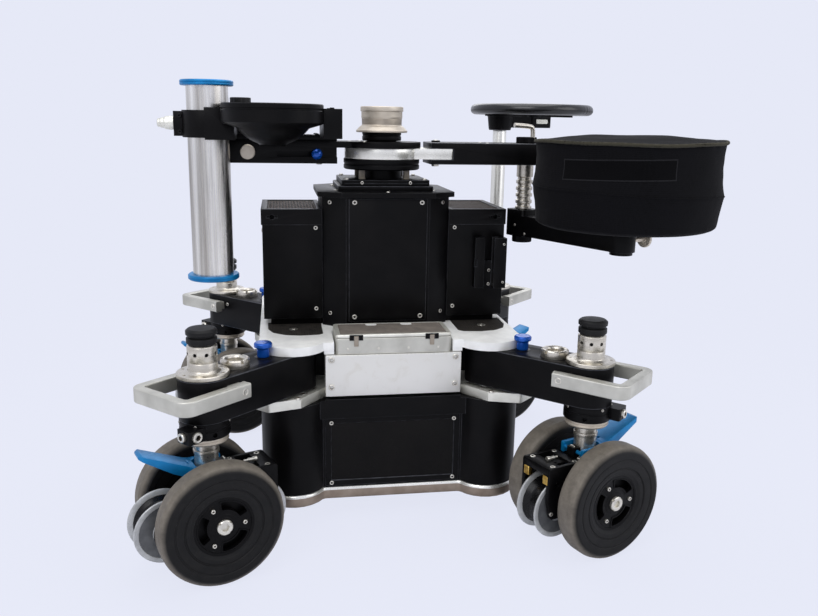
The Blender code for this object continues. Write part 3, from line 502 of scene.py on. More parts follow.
# Name, darkest and lightest colour, roughness and its spread, size of grain and of mottling in mm, relief in mm,
# metallic, and the specular level where it isn't the usual half
finishTable = {
    # Bead-blasted, black-anodised aluminium: an even satin black with a fine tooth
    "black": ("black_anodised_aluminium", "030304", "0a090a", 0.4, 0.05, 0.7, 45, 0.04, 0, 0.11),
    # Painted and rolled black sheet, a little glossier than the anodised parts beside it
    "blackGloss": ("black_coated_sheet", "040303", "0b0908", 0.3, 0.04, 1.4, 60, 0.02, 0, 0.12),
    # Bevelled edges of the black parts, painted a dull grey line as a painted highlight
    "blackEdge": ("black_anodised_edge_painted_highlight", "26272a", "515257", 0.34, 0.06, 1.5, 14, 0.03, 0.7),
    # Milled and blasted aluminium, clear-anodised: pale and soft, with faint clouding; its lighter copy is a painted
    # highlight on bevelled edges, and is used whole on some brighter pieces
    "satin": ("clear_anodised_aluminium", "d0cfc6", "e8e7de", 0.46, 0.05, 0.8, 35, 0.03, 0.75),
    "satinEdge": ("clear_anodised_bright_edge", "e2e1da", "f6f5ee", 0.3, 0.05, 1.2, 60, 0.02, 0.8),
    # The same alloy on the grab handles and the tool case, a shade greyer
    "satinGrey": ("grey_anodised_aluminium", "b3b2aa", "cac9c1", 0.45, 0.05, 0.8, 35, 0.03, 0.75),
    # Sand-cast and blasted aluminium: nearly white, with a coarser grain
    "cast": ("sand_cast_aluminium", "e4e5e6", "f6f7f7", 0.5, 0.07, 1.1, 28, 0.07, 0.15),
    # A lighter copy on the rounded edges, as a painted highlight
    "castEdge": ("sand_cast_aluminium_edge_painted_highlight", "eaebec", "fafafa", 0.42, 0.06, 1.3, 28, 0.04, 0.15),
    # The rounded foot of the base, painted a darker warm tone: painted shade and a painted reflection of a warm floor
    "rubbed": ("base_foot_painted_shade_and_reflection", "85776a", "a39587", 0.4, 0.07, 1.2, 30, 0.05, 0.85),
    # Turned steel: fine rings that smear the reflections round the axis
    "turned": ("turned_bright_steel", "bdb7ab", "d0cbc0", 0.3, 0.05, 1.4, 12, 0.015, 0.9, 0.5, (0.15, 0.15, 1.6)),
    # Brushed stainless tube: long streaks down its length, light and dark by turns
    "brushed": ("brushed_stainless_steel", "8e8880", "fbf9f4", 0.27, 0.08, 1.3, 16, 0.03, 1, 0.5, (1, 1, 0.02)),
    # Zinc-plated or stainless fasteners, and the painted shade inside their sockets
    "fastener": ("bright_steel_fasteners", "cbc7bd", "dad7cd", 0.3, 0.05, 1.0, 8, 0.01, 0.85),
    "socket": ("screw_socket_painted_shade", "4f443a", "74695d", 0.5, 0.06, 1.0, 4, 0.02, 0.4),
    "brass": ("turned_brass", "b08a3c", "dcb968", 0.3, 0.05, 1.2, 9, 0.02, 1),
    # Anodised a warm champagne tone, darker where it is knurled
    "champagne": ("champagne_anodised_aluminium", "b5ab9c", "cfc6b8", 0.46, 0.05, 0.8, 30, 0.03, 0.7),
    "champagneDark": ("champagne_anodised_knurl", "8e857a", "aca294", 0.5, 0.05, 0.9, 20, 0.12, 0.7),
    # Dyed blue anodising: deep colour, with a lighter copy painted on the bevelled edges as a highlight
    "blue": ("blue_anodised_aluminium", "0567a2", "0b83c2", 0.38, 0.05, 0.9, 40, 0.03, 0.35, 0.4),
    "blueEdge": ("blue_anodised_edge_painted_highlight", "3f9fd2", "74c0e6", 0.3, 0.05, 1.5, 12, 0.02, 0.5),
    "blueDeep": ("blue_anodised_gloss", "0a46a2", "125cc0", 0.2, 0.03, 1.5, 25, 0.01, 0.4),
    # Moulded and machined plastics: smooth nylon with a faint flow mark
    "nylon": ("moulded_black_nylon", "09090a", "151516", 0.28, 0.05, 2.5, 30, 0.02, 0, 0.2),
    "flange": ("machined_grey_nylon", "a2a4a6", "c3c5c7", 0.38, 0.07, 1.6, 18, 0.04, 0.3),
    "web": ("machined_dark_nylon", "4b4d50", "66686b", 0.4, 0.06, 1.6, 18, 0.04, 0.2),
    "white": ("moulded_white_polyamide", "dedfe0", "f2f2f3", 0.4, 0.05, 3.0, 20, 0.02, 0),
    # Pillars under the disc: aluminium painted a darker grey-brown as painted shade
    "pillar": ("pillar_aluminium_painted_shade", "6d665c", "8a8278", 0.5, 0.06, 1.5, 12, 0.05, 0),
    # Moulded rubbers: dull caps and pads, and a rim worn glossy by hands
    "rubber": ("moulded_black_rubber", "0d0d0e", "1a1a1b", 0.5, 0.07, 1.2, 20, 0.07, 0, 0.2),
    "rim": ("moulded_wheel_rim_rubber", "0a0a0b", "161617", 0.24, 0.05, 2.2, 30, 0.04, 0),
    "pad": ("rubber_grip_pad", "191715", "2e2a26", 0.8, 0.08, 2.6, 12, 0.9, 0, 0.2),
    "lidPad": ("ribbed_rubber_mat", "5d5752", "776f68", 0.7, 0.08, 1.8, 20, 0.4, 0),
}
finishes = {word: metalFinish(*row) for word, row in finishTable.items()}


def makeTyreFinish():
    # Solid moulded rubber: charcoal flanks, and a dusty tread painted a lighter brown-grey that also stands in for
    # the highlight on its rounded shoulder
    values = {"flank": "0a0a0b", "flankLight": "151414", "tread": "5f5a54", "treadLight": "7b756d",
              "treadFrom": 0.0985, "treadBlend": 0.0035, "scuff": 16.0, "grain": 1.2}
    finish, tree, shader, place = startFinish("moulded_tyre_rubber", Roughness=0.55, Specular_IOR_Level=0.2)
    parts = addNode(tree, "SeparateXYZ", links={"Vector": place})
    flat = addNode(tree, "CombineXYZ", links={"X": parts.outputs["X"], "Y": parts.outputs["Y"]})
    radius = addNode(tree, "VectorMath", {"operation": "LENGTH"}, {0: flat})
    scuff = addNoise(tree, place, values["scuff"], 6.0, Roughness=0.65)
    grain = addNoise(tree, place, values["grain"], 3.0)
    # The tread band, painted lighter: dust and a painted highlight
    dustAndHighlightBand = addNode(tree, "MapRange", {"From Min": values["treadFrom"] - values["treadBlend"],
                                      "From Max": values["treadFrom"] + values["treadBlend"]},
                   {"Value": radius.outputs["Value"]})
    flank = addRamp(tree, scuff, linear(values["flank"]), linear(values["flankLight"]), 0.35, 0.75)
    tread = addRamp(tree, scuff, linear(values["tread"]), linear(values["treadLight"]), 0.3, 0.75)
    feed(tree, shader, addMath(tree, "ADD", scuff, grain), 0.4, 0.2, addMix(tree, dustAndHighlightBand, flank, tread))
    return finish


def makeStainedFinish():
    # Blasted aluminium that has been handled and wiped: faint runs and grey clouds
    values = {"clean": "dddcd8", "stain": "d7d5cf", "stainSize": 30.0, "grain": 0.9, "run": (1.0, 1.0, 0.8)}
    finish, tree, shader, place = startFinish("handled_clear_anodised_aluminium", Metallic=0.6)
    runs = addNode(tree, "Mapping", {"Scale": values["run"]}, {"Vector": place})
    cloud = addNoise(tree, runs, values["stainSize"], 7.0, Roughness=0.6, Distortion=0.8)
    grain = addNoise(tree, place, values["grain"])
    feed(tree, shader, grain, 0.3, 0.03,
         addRamp(tree, cloud, linear(values["stain"]), linear(values["clean"]), 0.30, 0.44),
         addRamp(tree, cloud, grey(0.46), grey(0.34), 0.36, 0.56))
    return finish


def makeMeshFinish():
    # Woven wire over the pods' vents: brown-black with a fine square mesh, drawn at 3 mm to show
    values = {"wire": "5d5047", "hole": "141210", "pitch": 3.0}
    finish, tree, shader, place = startFinish("woven_wire_mesh", Metallic=0.6, Roughness=0.5)
    weave = addMath(tree, "MAXIMUM", *(addBands(tree, place, values["pitch"], axis) for axis in "XY"))
    feed(tree, shader, weave, 0.6, 0.5,
         addRamp(tree, weave, linear(values["hole"]), linear(values["wire"]), 0.45, 0.9))
    return finish


def makeFabricFinish(name, dark, light, thread, relief, sheen):
    # Knitted or woven cover: fine threads crossing, with a soft sheen at a grazing angle
    values = {"fluff": 1.6, "cloud": 50, "fluffShare": 0.35, "cloudShare": 0.7}
    finish, tree, shader, place = startFinish(name, Roughness=0.9, Sheen_Weight=sheen, Sheen_Roughness=0.5,
                                              Specular_IOR_Level=0.05)
    crossing = [addBands(tree, place, thread, axis, **{"Distortion": 0.6, "Detail Scale": 2.0}) for axis in "XYZ"]
    weave = addMath(tree, "ADD", addMath(tree, "MULTIPLY", *crossing[:2]), crossing[2])
    fluff = addNoise(tree, place, values["fluff"], 4.0)
    slow = addNoise(tree, place, values["cloud"], 3.0)
    half = addNode(tree, "Math", {"operation": "MULTIPLY_ADD", 1: values["fluffShare"]}, {0: weave, 2: fluff})
    tone = addNode(tree, "Math", {"operation": "MULTIPLY_ADD", 1: values["cloudShare"]}, {0: slow, 2: half})
    feed(tree, shader, half, 0.5, relief, addRamp(tree, tone, linear(dark), linear(light), 0.75, 1.35))
    return finish


finishes["tyre"] = makeTyreFinish()
finishes["stained"] = makeStainedFinish()
finishes["mesh"] = makeMeshFinish()
finishes["fabric"] = makeFabricFinish("charcoal_stretch_knit", "070708", "0f0f12", 1.6, 0.2, 0.02)
finishes["piping"] = makeFabricFinish("olive_grey_woven_cord", "1a1916", "3c3a32", 2.2, 0.5, 0.04)
finishes["patch"] = makeFabricFinish("black_woven_patch", "040405", "0a0a0c", 0.8, 0.1, 0.01)
finishes["patchEdge"] = makeFabricFinish("overlocked_patch_edge", "161618", "232326", 1.2, 0.3, 0.03)
print("stage: finishes made:", len(finishes))


# Wheels: a moulded solid tyre on a black hub with three windows

wheelSizes = {"radius": 105.0, "half": 23.5, "offset": 68.0, "steps": 72,
              "windowInner": 29.0, "windowOuter": 43.5, "windowStart": 24.0, "windowSpan": 72.0, "screwRing": 35.0}


def makeTyre():
    s = wheelSizes
    half = s["half"]
    outside = [(50.5, 16.8), (54.0, 17.6), (57.0, 19.6, 1.5), (63.5, 20.4, 0.8), (64.3, 19.4, 0.4),
               (66.0, 19.5, 0.4), (67.0, 21.4, 0.8), (79.5, 22.4, 0.6), (80.3, 21.6, 0.3), (82.0, 21.7, 0.3),
               (83.0, 22.9, 0.6), (93.5, half, 3.0), (s["radius"] - 2.2, half - 6.5, 5.0),
               (s["radius"], half - 13.0, 6.0)]
    inside = [(s["radius"], 13.0 - half, 6.0), (s["radius"] - 2.2, 6.5 - half, 5.0), (93.5, -half, 3.0),
              (84.0, -22.0, 0.8), (82.5, -20.9, 0.4), (66.0, -19.6, 0.8), (64.5, -18.2, 0.4), (54.0, -14.5),
              (50.5, -13.5)]
    return spun(outside + inside, s["steps"], 0, 4, True)


def windowOutline(k, grow):
    s = wheelSizes
    ends = [radians(a) + 2 * pi * k / 3 for a in (s["windowStart"] - grow * 1.4,
                                                  s["windowStart"] + s["windowSpan"] + grow * 1.4)]
    arc = []
    for radius, (start, end) in ((s["windowOuter"] + grow, ends), (s["windowInner"] - grow, ends[::-1])):
        for j in range(9):
            a = start + (end - start) * j / 8
            arc.append((radius * cos(a), radius * sin(a), 5.0 if j in (0, 8) else 0))
    return fillet(arc)


def makeHub():
    hub = lathe([(9.6, 7.0), (9.6, 16.9), (15.5, 16.9), (16.5, 15.9), (20.5, 15.9), (21.5, 15.0), (45.5, 15.0),
                 (46.3, 16.4), (48.0, 17.2), (50.3, 17.2), (51.9, 16.0), (51.9, -13.8), (49.0, -13.8),
                 (47.0, 5.5), (45.5, 7.0)], 60, closed=True)
    lips = [slab(windowOutline(k, 2.2), 13.0, 16.1) for k in range(3)]
    windows = [slab(windowOutline(k, 0.0), 0.0, 30.0) for k in range(3)]
    shield = lathe([(9.6, -1.0), (47.6, -1.0), (47.4, 1.0), (9.6, 1.0)], 48, closed=True)
    return gathered([softened(cut(joined(hub, *lips), *windows), 0.5, 1, 40), shield])


def makeAxleNut():
    nut = lathe([(7.0, 83.2, 6), (7.0, 89.4, 6), (7.4, 90.0), (11.8, 90.0), (13.0, 88.9), (13.0, 83.2)], 36,
                closed=True)
    notches = [placed(box((11.2, -1.6, 86.2), (14.0, 1.6, 91.0)), turn(k * pi / 2 + pi / 4)) for k in range(4)]
    return gathered([cut(nut, *notches), rod(7.6, 82.0, 85.4, 18)])


def makeRollerDrum():
    half = [(6.6, 19.4), (46.0, 19.4), (45.2, 17.6), (40.6, 13.6), (38.6, 9.5), (38.0, 6.0)]
    return spun(half + [(r, -z) for r, z in reversed(half)], 48, 0, 1, True)


def makeRollerFlange():
    return spun([(7.0, 19.6), (44.5, 19.6), (46.5, 19.9), (53.0, 20.8), (55.0, 22.2, 1.0), (55.0, 24.2, 0.8),
                 (54.0, 25.0, 0.4), (47.0, 25.0, 0.4), (46.2, 23.9, 0.3), (24.5, 23.7, 0.4), (23.8, 24.7, 0.4),
                 (17.0, 24.7, 0.4), (16.2, 23.6, 0.3), (7.0, 23.6)], 48, 0, 2, True)


def makeRollerWeb():
    # The darker face inside the flange's bright rim
    return lathe([(24.4, 23.0), (46.3, 23.2), (46.3, 24.1), (24.4, 23.95)], 48, closed=True)


def bothSides(make):
    # One face of the roller and its mirror image
    return gathered([make(), placed(make(), turn(pi, "X"))])


def hubScrews():
    ring = wheelSizes["screwRing"]
    return screwSet([((ring * cos(a), ring * sin(a), 15.0), (0, 0, 1), 3.6, 3.0)
                     for a in (0, 2 * pi / 3, 4 * pi / 3)])


onAxle = turn(pi / 2, "X")
tyreMesh = finished(makeTyre(), "tyre", 40)
hubMesh = finished(makeHub(), anodised)
hubScrewMesh = finished(hubScrews(), screwed)
nutMesh = finished(makeAxleNut(), "fastener")
drumMesh = finished(makeRollerDrum(), "nylon")
flangeMesh = finished(bothSides(makeRollerFlange), "flange")
webMesh = finished(bothSides(makeRollerWeb), "web")
print("stage: wheels and rollers shaped")


# Trucks: kingpin, crosshead, cheek plates and yoke

truckSizes = {"postTop": 392.0, "postRadius": 24.5, "flangeRadius": 43.0, "steerTube": 16.5, "steerTop": 731.0,
              "rollerOffset": 76.0, "rollerHeight": 88.5, "holeLevel": 378.0, "holes": 8, "holeRadius": 3.2,
              "screwHoles": 6, "screwHoleRadius": 2.6, "screwRing": 35.5}


def sidePlate(outline, near, far):
    # A plate from an outline of (run, height), standing between two sides of the unit
    return placed(slab(outline, near, far), turn(pi / 2, "X"))


def makeKingpin():
    return spun([(0, 152.0), (27.0, 152.0), (27.0, 166.0, 1.5), (24.0, 168.0, 0.5), (20.0, 172.0, 1.0),
                 (20.0, 204.0), (21.6, 205.0, 0.4), (21.6, 211.0, 0.4), (20.0, 212.0), (20.0, 226.2),
                 (20.0, 240.0), (0, 240.0)], 40)


def makeCollar():
    return spun([(20.2, 226.5), (36.0, 226.5), (38.5, 229.0, 1.0), (38.5, 231.5, 0.3), (37.4, 232.2, 0.3),
                 (37.4, 233.6, 0.3), (38.5, 234.3, 0.3), (38.5, 237.6, 0.8), (20.2, 237.6)], 48, 0, 2, True)


def roundPost(radius, near, far):
    # The bars' holes round the post, or the dark plugs inside them that paint the shade in the holes
    s = truckSizes
    return [placed(slab(circle(radius, 14), near, far),
                   shift(0, 0, s["holeLevel"]) @ turn(k * 2 * pi / s["holes"]) @ turn(pi / 2, "Y"))
            for k in range(s["holes"])]


def makePost(tall):
    s = truckSizes
    flange, post, top = s["flangeRadius"], s["postRadius"], s["postTop"]
    body = [(0, 338.8), (flange - 1, 338.8), (flange, 339.8), (flange, 344.8), (flange - 1.2, 346.0),
            (30.0, 346.0, 2.0), (post, 349.5, 2.5), (post, 362.0), (post - 0.9, 362.6), (post - 0.9, 363.8),
            (post, 364.4), (post, top - 2.5, 0.6), (post - 2.5, top)]
    body += [(s["steerTube"] + 0.5, top), (0, top)] if tall else [(0, top)]
    holes = roundPost(s["holeRadius"], 18.0, 30.0)
    for k in range(s["screwHoles"]):
        a = k * 2 * pi / s["screwHoles"] + 0.3
        ring = s["screwRing"]
        holes.append(slab(circle(s["screwHoleRadius"], 14, ring * cos(a), ring * sin(a)), 343.5, 350.0))
    return softened(cut(spun(body, 48, 0, 3), *holes), 0.4, 1, 45, bright=False)


def makePostCap():
    return spun([(0, 391.0), (22.0, 391.0), (22.0, 393.4, 0.8), (24.9, 394.8, 0.8), (24.9, 403.2, 1.5),
                 (20.0, 405.2, 0.8), (20.0, 407.2, 0.8), (25.4, 408.8, 0.8), (25.6, 415.2, 2.0),
                 (21.5, 418.6, 2.5), (0, 419.0)], 40, 0, 4)


def makePostPlugs():
    # The tommy-bar holes are blind; a black plug at the bottom of each is painted shade
    return gathered(roundPost(truckSizes["holeRadius"] - 0.1, 17.5, 21.5))


def makeSteerTube():
    s = truckSizes
    r, low, high = s["steerTube"], s["postTop"], s["steerTop"]
    return spun([(0, low - 3), (r, low - 3), (r, low + 6), (r + 3, low + 6, 1), (r + 3, low + 13, 1),
                 (r, low + 14, 0.5), (r, high - 1, 0.8), (r - 1, high), (0, high)], 40, 0, 3)


def makeTruckBody():
    cheek = [(-112, 172, 5), (-40, 172, 4), (-34, 158, 4), (22, 158, 4), (34, 120, 8), (100, 98, 10), (100, 76, 8),
             (-104, 76, 8), (-112, 112, 14)]
    plates = []
    for side in (-1, 1):
        near, far = sorted((side * 29.0, side * 36.0))
        cheekPlate = sidePlate(fillet(cheek), near, far)
        holes = [sidePlate(circle(7.0, 20, -40, 132), near - 3, far + 3),
                 sidePlate(circle(5.0, 16, -92, 140), near - 3, far + 3)]
        plates.append(cut(cheekPlate, *holes))
    body = box((-40, -29.5, 136), (24, 29.5, 160))
    joined(body, *plates, box((-111, -35.2, 157.5), (-84, 35.2, 171.4)), box((-56, -35.1, 157.2), (-39, 35.1, 171.2)),
           box((-34, -9, 158), (-12, 9, 185.6)), box((-86, -12, 159), (-54, 12, 167)))
    return softened(body, 1.4, 2, 38)


def makeAxles():
    s = truckSizes
    across = shift(0, 0, wheelSizes["radius"]) @ onAxle
    bars = [placed(rod(15, -64.5, 64.5, 28), across), placed(rod(9, -84.5, 84.5), across)]
    for side in (-1, 1):
        bars.append(placed(rod(6, -35, 35, 20), shift(side * s["rollerOffset"], 0, s["rollerHeight"]) @ onAxle))
    return gathered(bars)


def truckFasteners():
    s = truckSizes
    spots = [((run, side * 27.0, 171.2), (0, 0, 1), 5.0, 0.9) for run in (-97.5, -47.5) for side in (-1, 1)]
    for side in (-1, 1):
        for run, level in ((-104.0, 88.0), (92.0, 86.0), (-20.0, 148.0), (10.0, 148.0)):
            spots.append(((run, side * 36.0, level), (0, side, 0), 3.6, 2.6))
        for end in (-1, 1):
            spots.append(((end * s["rollerOffset"], side * 36.0, s["rollerHeight"]), (0, side, 0), 6.2, 4.0))
    return screwSet(spots)


def brassBlocks():
    return gathered([softened(box((-112.4, side * 19, 141.0), (-103, side * 32, 157.0)), 0.8, 1, 40, bright=False)
                     for side in (-1, 1)])


def makeLink():
    # Flat link from the yoke to the pedal's fork, with the cable adjuster beside it
    strip = softened(box((-30.5, -5.5, 160), (-28.0, 5.5, 188)), 0.6, 1, 40, bright=False)
    barrel = spun([(0, 0), (4.4, 0), (4.4, 6), (3.4, 7), (3.4, 16), (2.0, 18), (2.0, 24), (0, 24)], 20, 0.3, 1)
    return gathered([strip, placed(barrel, shift(-88, 0, 173.5) @ turn(pi / 2, "Y"))])


# Name, mesh and whether the piece is only on the steered truck, only on the others, or on all
truckParts = [(name, finished(shape, finish), where) for name, shape, finish, where in (
    ("truck_body", makeTruckBody(), anodised, "all"),
    ("kingpin", makeKingpin(), "turned", "all"),
    ("thrust_collar", makeCollar(), "champagne", "all"),
    ("post", makePost(True), "turned", "steered"),
    ("post", makePost(False), "turned", "plain"),
    ("post_holes", makePostPlugs(), "black", "all"),
    ("steering_tube", makeSteerTube(), "satinEdge", "steered"),
    ("post_cap", makePostCap(), "rubber", "plain"),
    ("axles", makeAxles(), "turned", "all"),
    ("truck_screws", truckFasteners(), screwed, "all"),
    ("brake_blocks", brassBlocks(), "brass", "all"),
    ("brake_link", makeLink(), "fastener", "all"))]
print("stage: trucks shaped")


# Pedals: bent blue plates with a fork round the kingpin

def makePedal():
    lever = sidePlate(fillet([(-30, 168), (-30, 187, 3), (24, 187.5, 12), (108, 223, 3), (114, 222, 2), (114, 218, 2),
                              (60, 184, 20), (24, 168, 10)], 0, 5), -30, 30)
    plan = slab(fillet([(-60, -29), (20, -29, 14), (36, -22, 14), (108, -19.5, 4), (115, -12, 5), (115, 12, 5),
                        (108, 19.5, 4), (36, 22, 14), (20, 29, 14), (-60, 29)]), 100, 300)
    lever = combined(lever, [plan], "INTERSECT")
    fork = slab(fillet([(-60, -22), (15, -22, 10), (23, -14, 8), (23, 14, 8), (15, 22, 10), (-60, 22)]), 100, 300)
    hollow = sidePlate([(44, 150), (34, 176), (44, 187), (100, 211), (112, 214), (112, 150)], -13, 13)
    hole = placed(slab(circle(2.6, 16), 0, 30), shift(33, 0, 180))
    cut(lever, fork, hollow, hole)
    softened(lever, 1.1, 2, 38)
    return gathered([lever, placed(rod(3.5, -23, 23, 18), shift(-26, 0, 178) @ onAxle)])


pedalMesh = finished(makePedal(), "blue blueEdge")


# Arms, grab handles and pull pins

armSizes = {"reach": (layout["kingpinHalf"] - layout["pivotHalf"]) * sqrt(2), "half": 42.0, "low": 261.4,
            "high": 338.3, "lockReach": 75.0, "handleWide": 61.0, "handleReach": 86.3, "handleBend": 13.0,
            "handleLevel": 316.5, "nutBack": 69.5, "underside": 4.2}


def stadium(half, reach, steps=24):
    return [(centre + half * cos(a), half * sin(a)) for start, centre in ((-pi / 2, reach), (pi / 2, 0.0))
            for a in (start + pi * k / steps for k in range(steps + 1))]


def makeArm():
    s = armSizes
    beam = slab(stadium(s["half"], s["reach"]), s["low"] + s["underside"], s["high"])
    nutAt = s["reach"] - s["nutBack"]
    cut(beam, *(slab(circle(radius, steps, x), low, 400) for radius, steps, x, low in (
        (20.4, 40, 0.0, 200), (20.6, 40, s["reach"], 200), (6.6, 20, s["lockReach"], 200),
        (25.6, 48, nutAt, s["high"] - 3.0))))
    return softened(beam, 3.2, 2, 50)


def makeArmHousing():
    # The kingpin's bearing housing below the arm, with its windows and side lug
    reach = armSizes["reach"]
    housing = spun([(20.6, 238.0), (40.5, 238.0), (42.0, 239.5), (42.0, 252.0), (40.6, 253.0), (40.6, 255.0),
                    (42.0, 256.0), (42.0, 266.0), (20.6, 266.0)], 56, 0.4, 2, True)
    cut(housing, *(placed(slab(circle(4.2, 18), 36, 48), shift(0, 0, 246.5) @ turn(a) @ turn(pi / 2, "Y"))
                   for a in (-2.3, -1.25, 1.25, 2.3)))
    placed(housing, shift(reach, 0, 0))
    return softened(joined(housing, slab(roundRect(reach + 24, 2, reach + 60, 34, 4), 241, 263)), 0.7, 1, 40)


def makeRingNut():
    # Slotted bearing nut of bright steel let into the top of the arm
    ring = spun([(15.0, 335.0), (15.0, 348.0), (17.5, 351.4, 1.0), (20.5, 352.0), (22.6, 352.0), (25.0, 350.2),
                 (25.0, 335.0)], 48, 0.3, 2, True)
    cut(ring, *(placed(box((20.5, -2.4, 346.5), (27, 2.4, 355)), turn(k * pi / 3 + 0.3)) for k in range(6)))
    floor = rod(15.6, 334.6, 342.0)
    return placed(gathered([softened(ring, 0.4, 1, 40, bright=False), floor]),
                  shift(armSizes["reach"] - armSizes["nutBack"], 0, 0))


def makeHandle():
    s = armSizes
    reach, wide, bend, level = s["reach"], s["handleWide"], s["handleBend"], s["handleLevel"]
    far = reach + s["handleReach"]
    path = [(reach - 40.0, wide)]
    for k in range(9):
        a = pi / 2 - (pi / 2) * k / 8
        path.append((far - bend + bend * cos(a), wide - bend + bend * sin(a)))
    path += [(x, -y) for x, y in reversed(path)]
    bar = placed(railAlong(path, centredRect(9, 12.3, 2.6, 4)), shift(0, 0, level))
    bosses = [softened(box((reach - 38, side * (s["half"] + 0.3), level - 9),
                           (reach - 12, side * (wide - 6), level + 9)), 1.0, 1, 40) for side in (-1, 1)]
    return gathered([bar] + bosses)


def armFasteners():
    s = armSizes
    reach = s["reach"]
    spots = [((reach + 46, 34.0, 252.0), (0, 1, 0), 9.0, 4.5), ((reach + 60, 17.0, 252.0), (1, 0, 0), 8.0, 5.0)]
    for side in (-1, 1):
        spots.append(((reach - 28.0, side * (s["handleWide"] + 9.0), s["handleLevel"]), (0, side, 0), 6.4, 0.8))
        spots.append(((reach - 47.5, side * s["half"], 320.0), (0, side, 0), 4.2, 1.2))
    for a in (-0.5, 0.5, 2.1, -2.1):
        spots.append(((reach + 40.0 * cos(a), 40.0 * sin(a), 262.8), (cos(a), sin(a), 0), 2.4, 3.2))
    return screwSet(spots)


def makePullPin():
    low = armSizes["low"] + 0.3
    return spun([(0, low), (4.0, low), (6.0, low + 2.7), (6.0, 339.2), (10.6, 339.2), (11.2, 341.0, 1.0),
                 (11.2, 354.5, 2.0), (16.2, 357.4, 1.2), (16.2, 363.0, 1.6), (14.0, 365.5, 1.5), (4.0, 365.3),
                 (0, 364.9)], 40, 0, 3)


def makePinBush():
    # Black bush that the pull pin drops into
    return spun([(6.6, 336.0), (6.6, 338.9), (15.0, 338.9), (15.6, 338.5), (15.6, 336.0)], 40, 0.2, 1, True)


armParts = [(name, finished(shape, finish), slotName) for name, shape, finish, slotName in (
    ("beam", makeArm(), anodised, "arm_black"),
    ("bearing_housing", makeArmHousing(), anodised, "arm_black"),
    ("ring_nut", makeRingNut(), "turned", "arm_black"),
    ("grab_handle", makeHandle(), "satinGrey", "handle_satin"),
    ("arm_screws", armFasteners(), screwed, "handle_satin"))]
pullPinMesh = finished(makePullPin(), "blueDeep")
pinBushMesh = finished(makePinBush(), "blackGloss")
print("stage: arms shaped")


def placeCorner(corner, signX, signY):
    pivot, kingpin = layout["pivotHalf"], layout["kingpinHalf"]
    pivotAt = columnFrame @ inMetres(signX * pivot, signY * pivot) @ turn(atan2(signY, signX))
    lockAt = pivotAt @ inMetres(armSizes["lockReach"], 0)
    heading = layout["crabAngle"] + (0 if signX > 0 else pi)
    kingAt = columnFrame @ inMetres(signX * kingpin, signY * kingpin) @ turn(heading)
    arm, truck, pedal, pin = (part + corner for part in ("arm_", "truck_", "pedal_", "pin_"))
    nodes = {"beam": [arm], "grab_handle": ["handle_" + corner]}
    for name, mesh, slotName in armParts:
        addPiece("%s_%s" % (name, corner), mesh, arm, slotName, nodes.get(name, ()), pivotAt)
    addPiece("pull_pin_" + corner, pullPinMesh, pin, "lock_blue", ["lock_pin_" + corner], lockAt)
    addPiece("pin_bush_" + corner, pinBushMesh, arm, "arm_black", [], lockAt)
    for name, mesh, where in truckParts:
        if where in ("all", "steered" if corner == "rr" else "plain"):
            addPiece("%s_%s" % (name, corner), mesh, truck, "truck_metal", [truck] if name == "truck_body" else (),
                     kingAt)
    for end, side in (("a", -1), ("b", 1)):
        tail = "_%s_%s" % (corner, end)
        facingOut = turn(0 if side < 0 else pi) @ onAxle
        wheelAt = kingAt @ inMetres(0, side * wheelSizes["offset"], wheelSizes["radius"]) @ facingOut
        addPiece("tyre" + tail, tyreMesh, "wheel" + tail, "tyre", ["wheel" + tail], wheelAt)
        addPiece("hub" + tail, hubMesh, "wheel" + tail, "tyre", [], wheelAt)
        addPiece("hub_screws" + tail, hubScrewMesh, "wheel" + tail, "tyre", [], wheelAt)
        addPiece("axle_nut" + tail, nutMesh, truck, "truck_metal", [],
                 kingAt @ inMetres(0, 0, wheelSizes["radius"]) @ facingOut)
    for end, side in (("out", 1), ("in", -1)):
        tail = "_%s_%s" % (corner, end)
        rollerAt = kingAt @ inMetres(side * truckSizes["rollerOffset"], 0, truckSizes["rollerHeight"]) @ onAxle
        for name, mesh, stands in (("roller_drum", drumMesh, ["roller" + tail]), ("roller_flanges", flangeMesh, []),
                                   ("roller_webs", webMesh, [])):
            addPiece(name + tail, mesh, "roller" + tail, "roller_nylon", stands, rollerAt)
    addPiece("foot_pedal_" + corner, pedalMesh, pedal, "pedal_blue", [pedal], kingAt)


for corner, signX, signY in corners:
    placeCorner(corner, signX, signY)
print("stage: four corner units placed")


# Chassis: base plate, black lower housing, silver flange and the cast deck

chassisSizes = {"half": 215.0, "pivot": layout["pivotHalf"], "lobe": 62.0, "baseLow": 45.0, "baseHigh": 70.0,
                "housingLow": 70.3, "housingHigh": 242.7, "flangeLow": 243.0, "flangeHigh": 261.0,
                "deckLow": 338.7, "deckHigh": 354.5, "deckHalf": 246.0, "coreHalf": 119.0,
                "plateHalf": 127.0, "plateFace": 217.0, "mastHalf": 50.4, "padX": 127.0, "padBack": (52.0, 113.0),
                "padRun": 9.0, "pimplePitch": 5.0, "padScrewX": 182.0, "padScrewY": (-108, 138), "padScrewGap": 10.0}
flangeHoles = ((12, 36), (12, -36), (-22, 30), (-22, -30))


def lobedSquare(side, radius, steps=14):
    # A square whose four corners swell into round lobes about the arm pivots
    drop = side - layout["pivotHalf"]
    reach = sqrt(radius ** 2 - drop ** 2)
    start, end = atan2(-drop, -reach), atan2(reach, drop)
    points = []
    for corner in range(4):
        x, y = cornerPoint(corner, 0, 0)
        for k in range(steps + 1):
            a = start + (end - start) * k / steps + corner * pi / 2
            points.append((x + radius * cos(a), y + radius * sin(a)))
    return points


def makeBasePlate():
    s = chassisSizes
    plate = slab(lobedSquare(s["half"], s["lobe"]), s["baseLow"], s["baseHigh"])
    softened(plate, 6.0, 4, 50, bright=False)
    for face in plate.data.polygons:
        # The side and its lower rounding take a darker bronze-brown: painted shade and a painted warm floor
        # reflection below the pale top
        if face.center.z < s["baseHigh"] - 5.0 and face.normal.z > -0.98:
            face.material_index = 1
    return plate


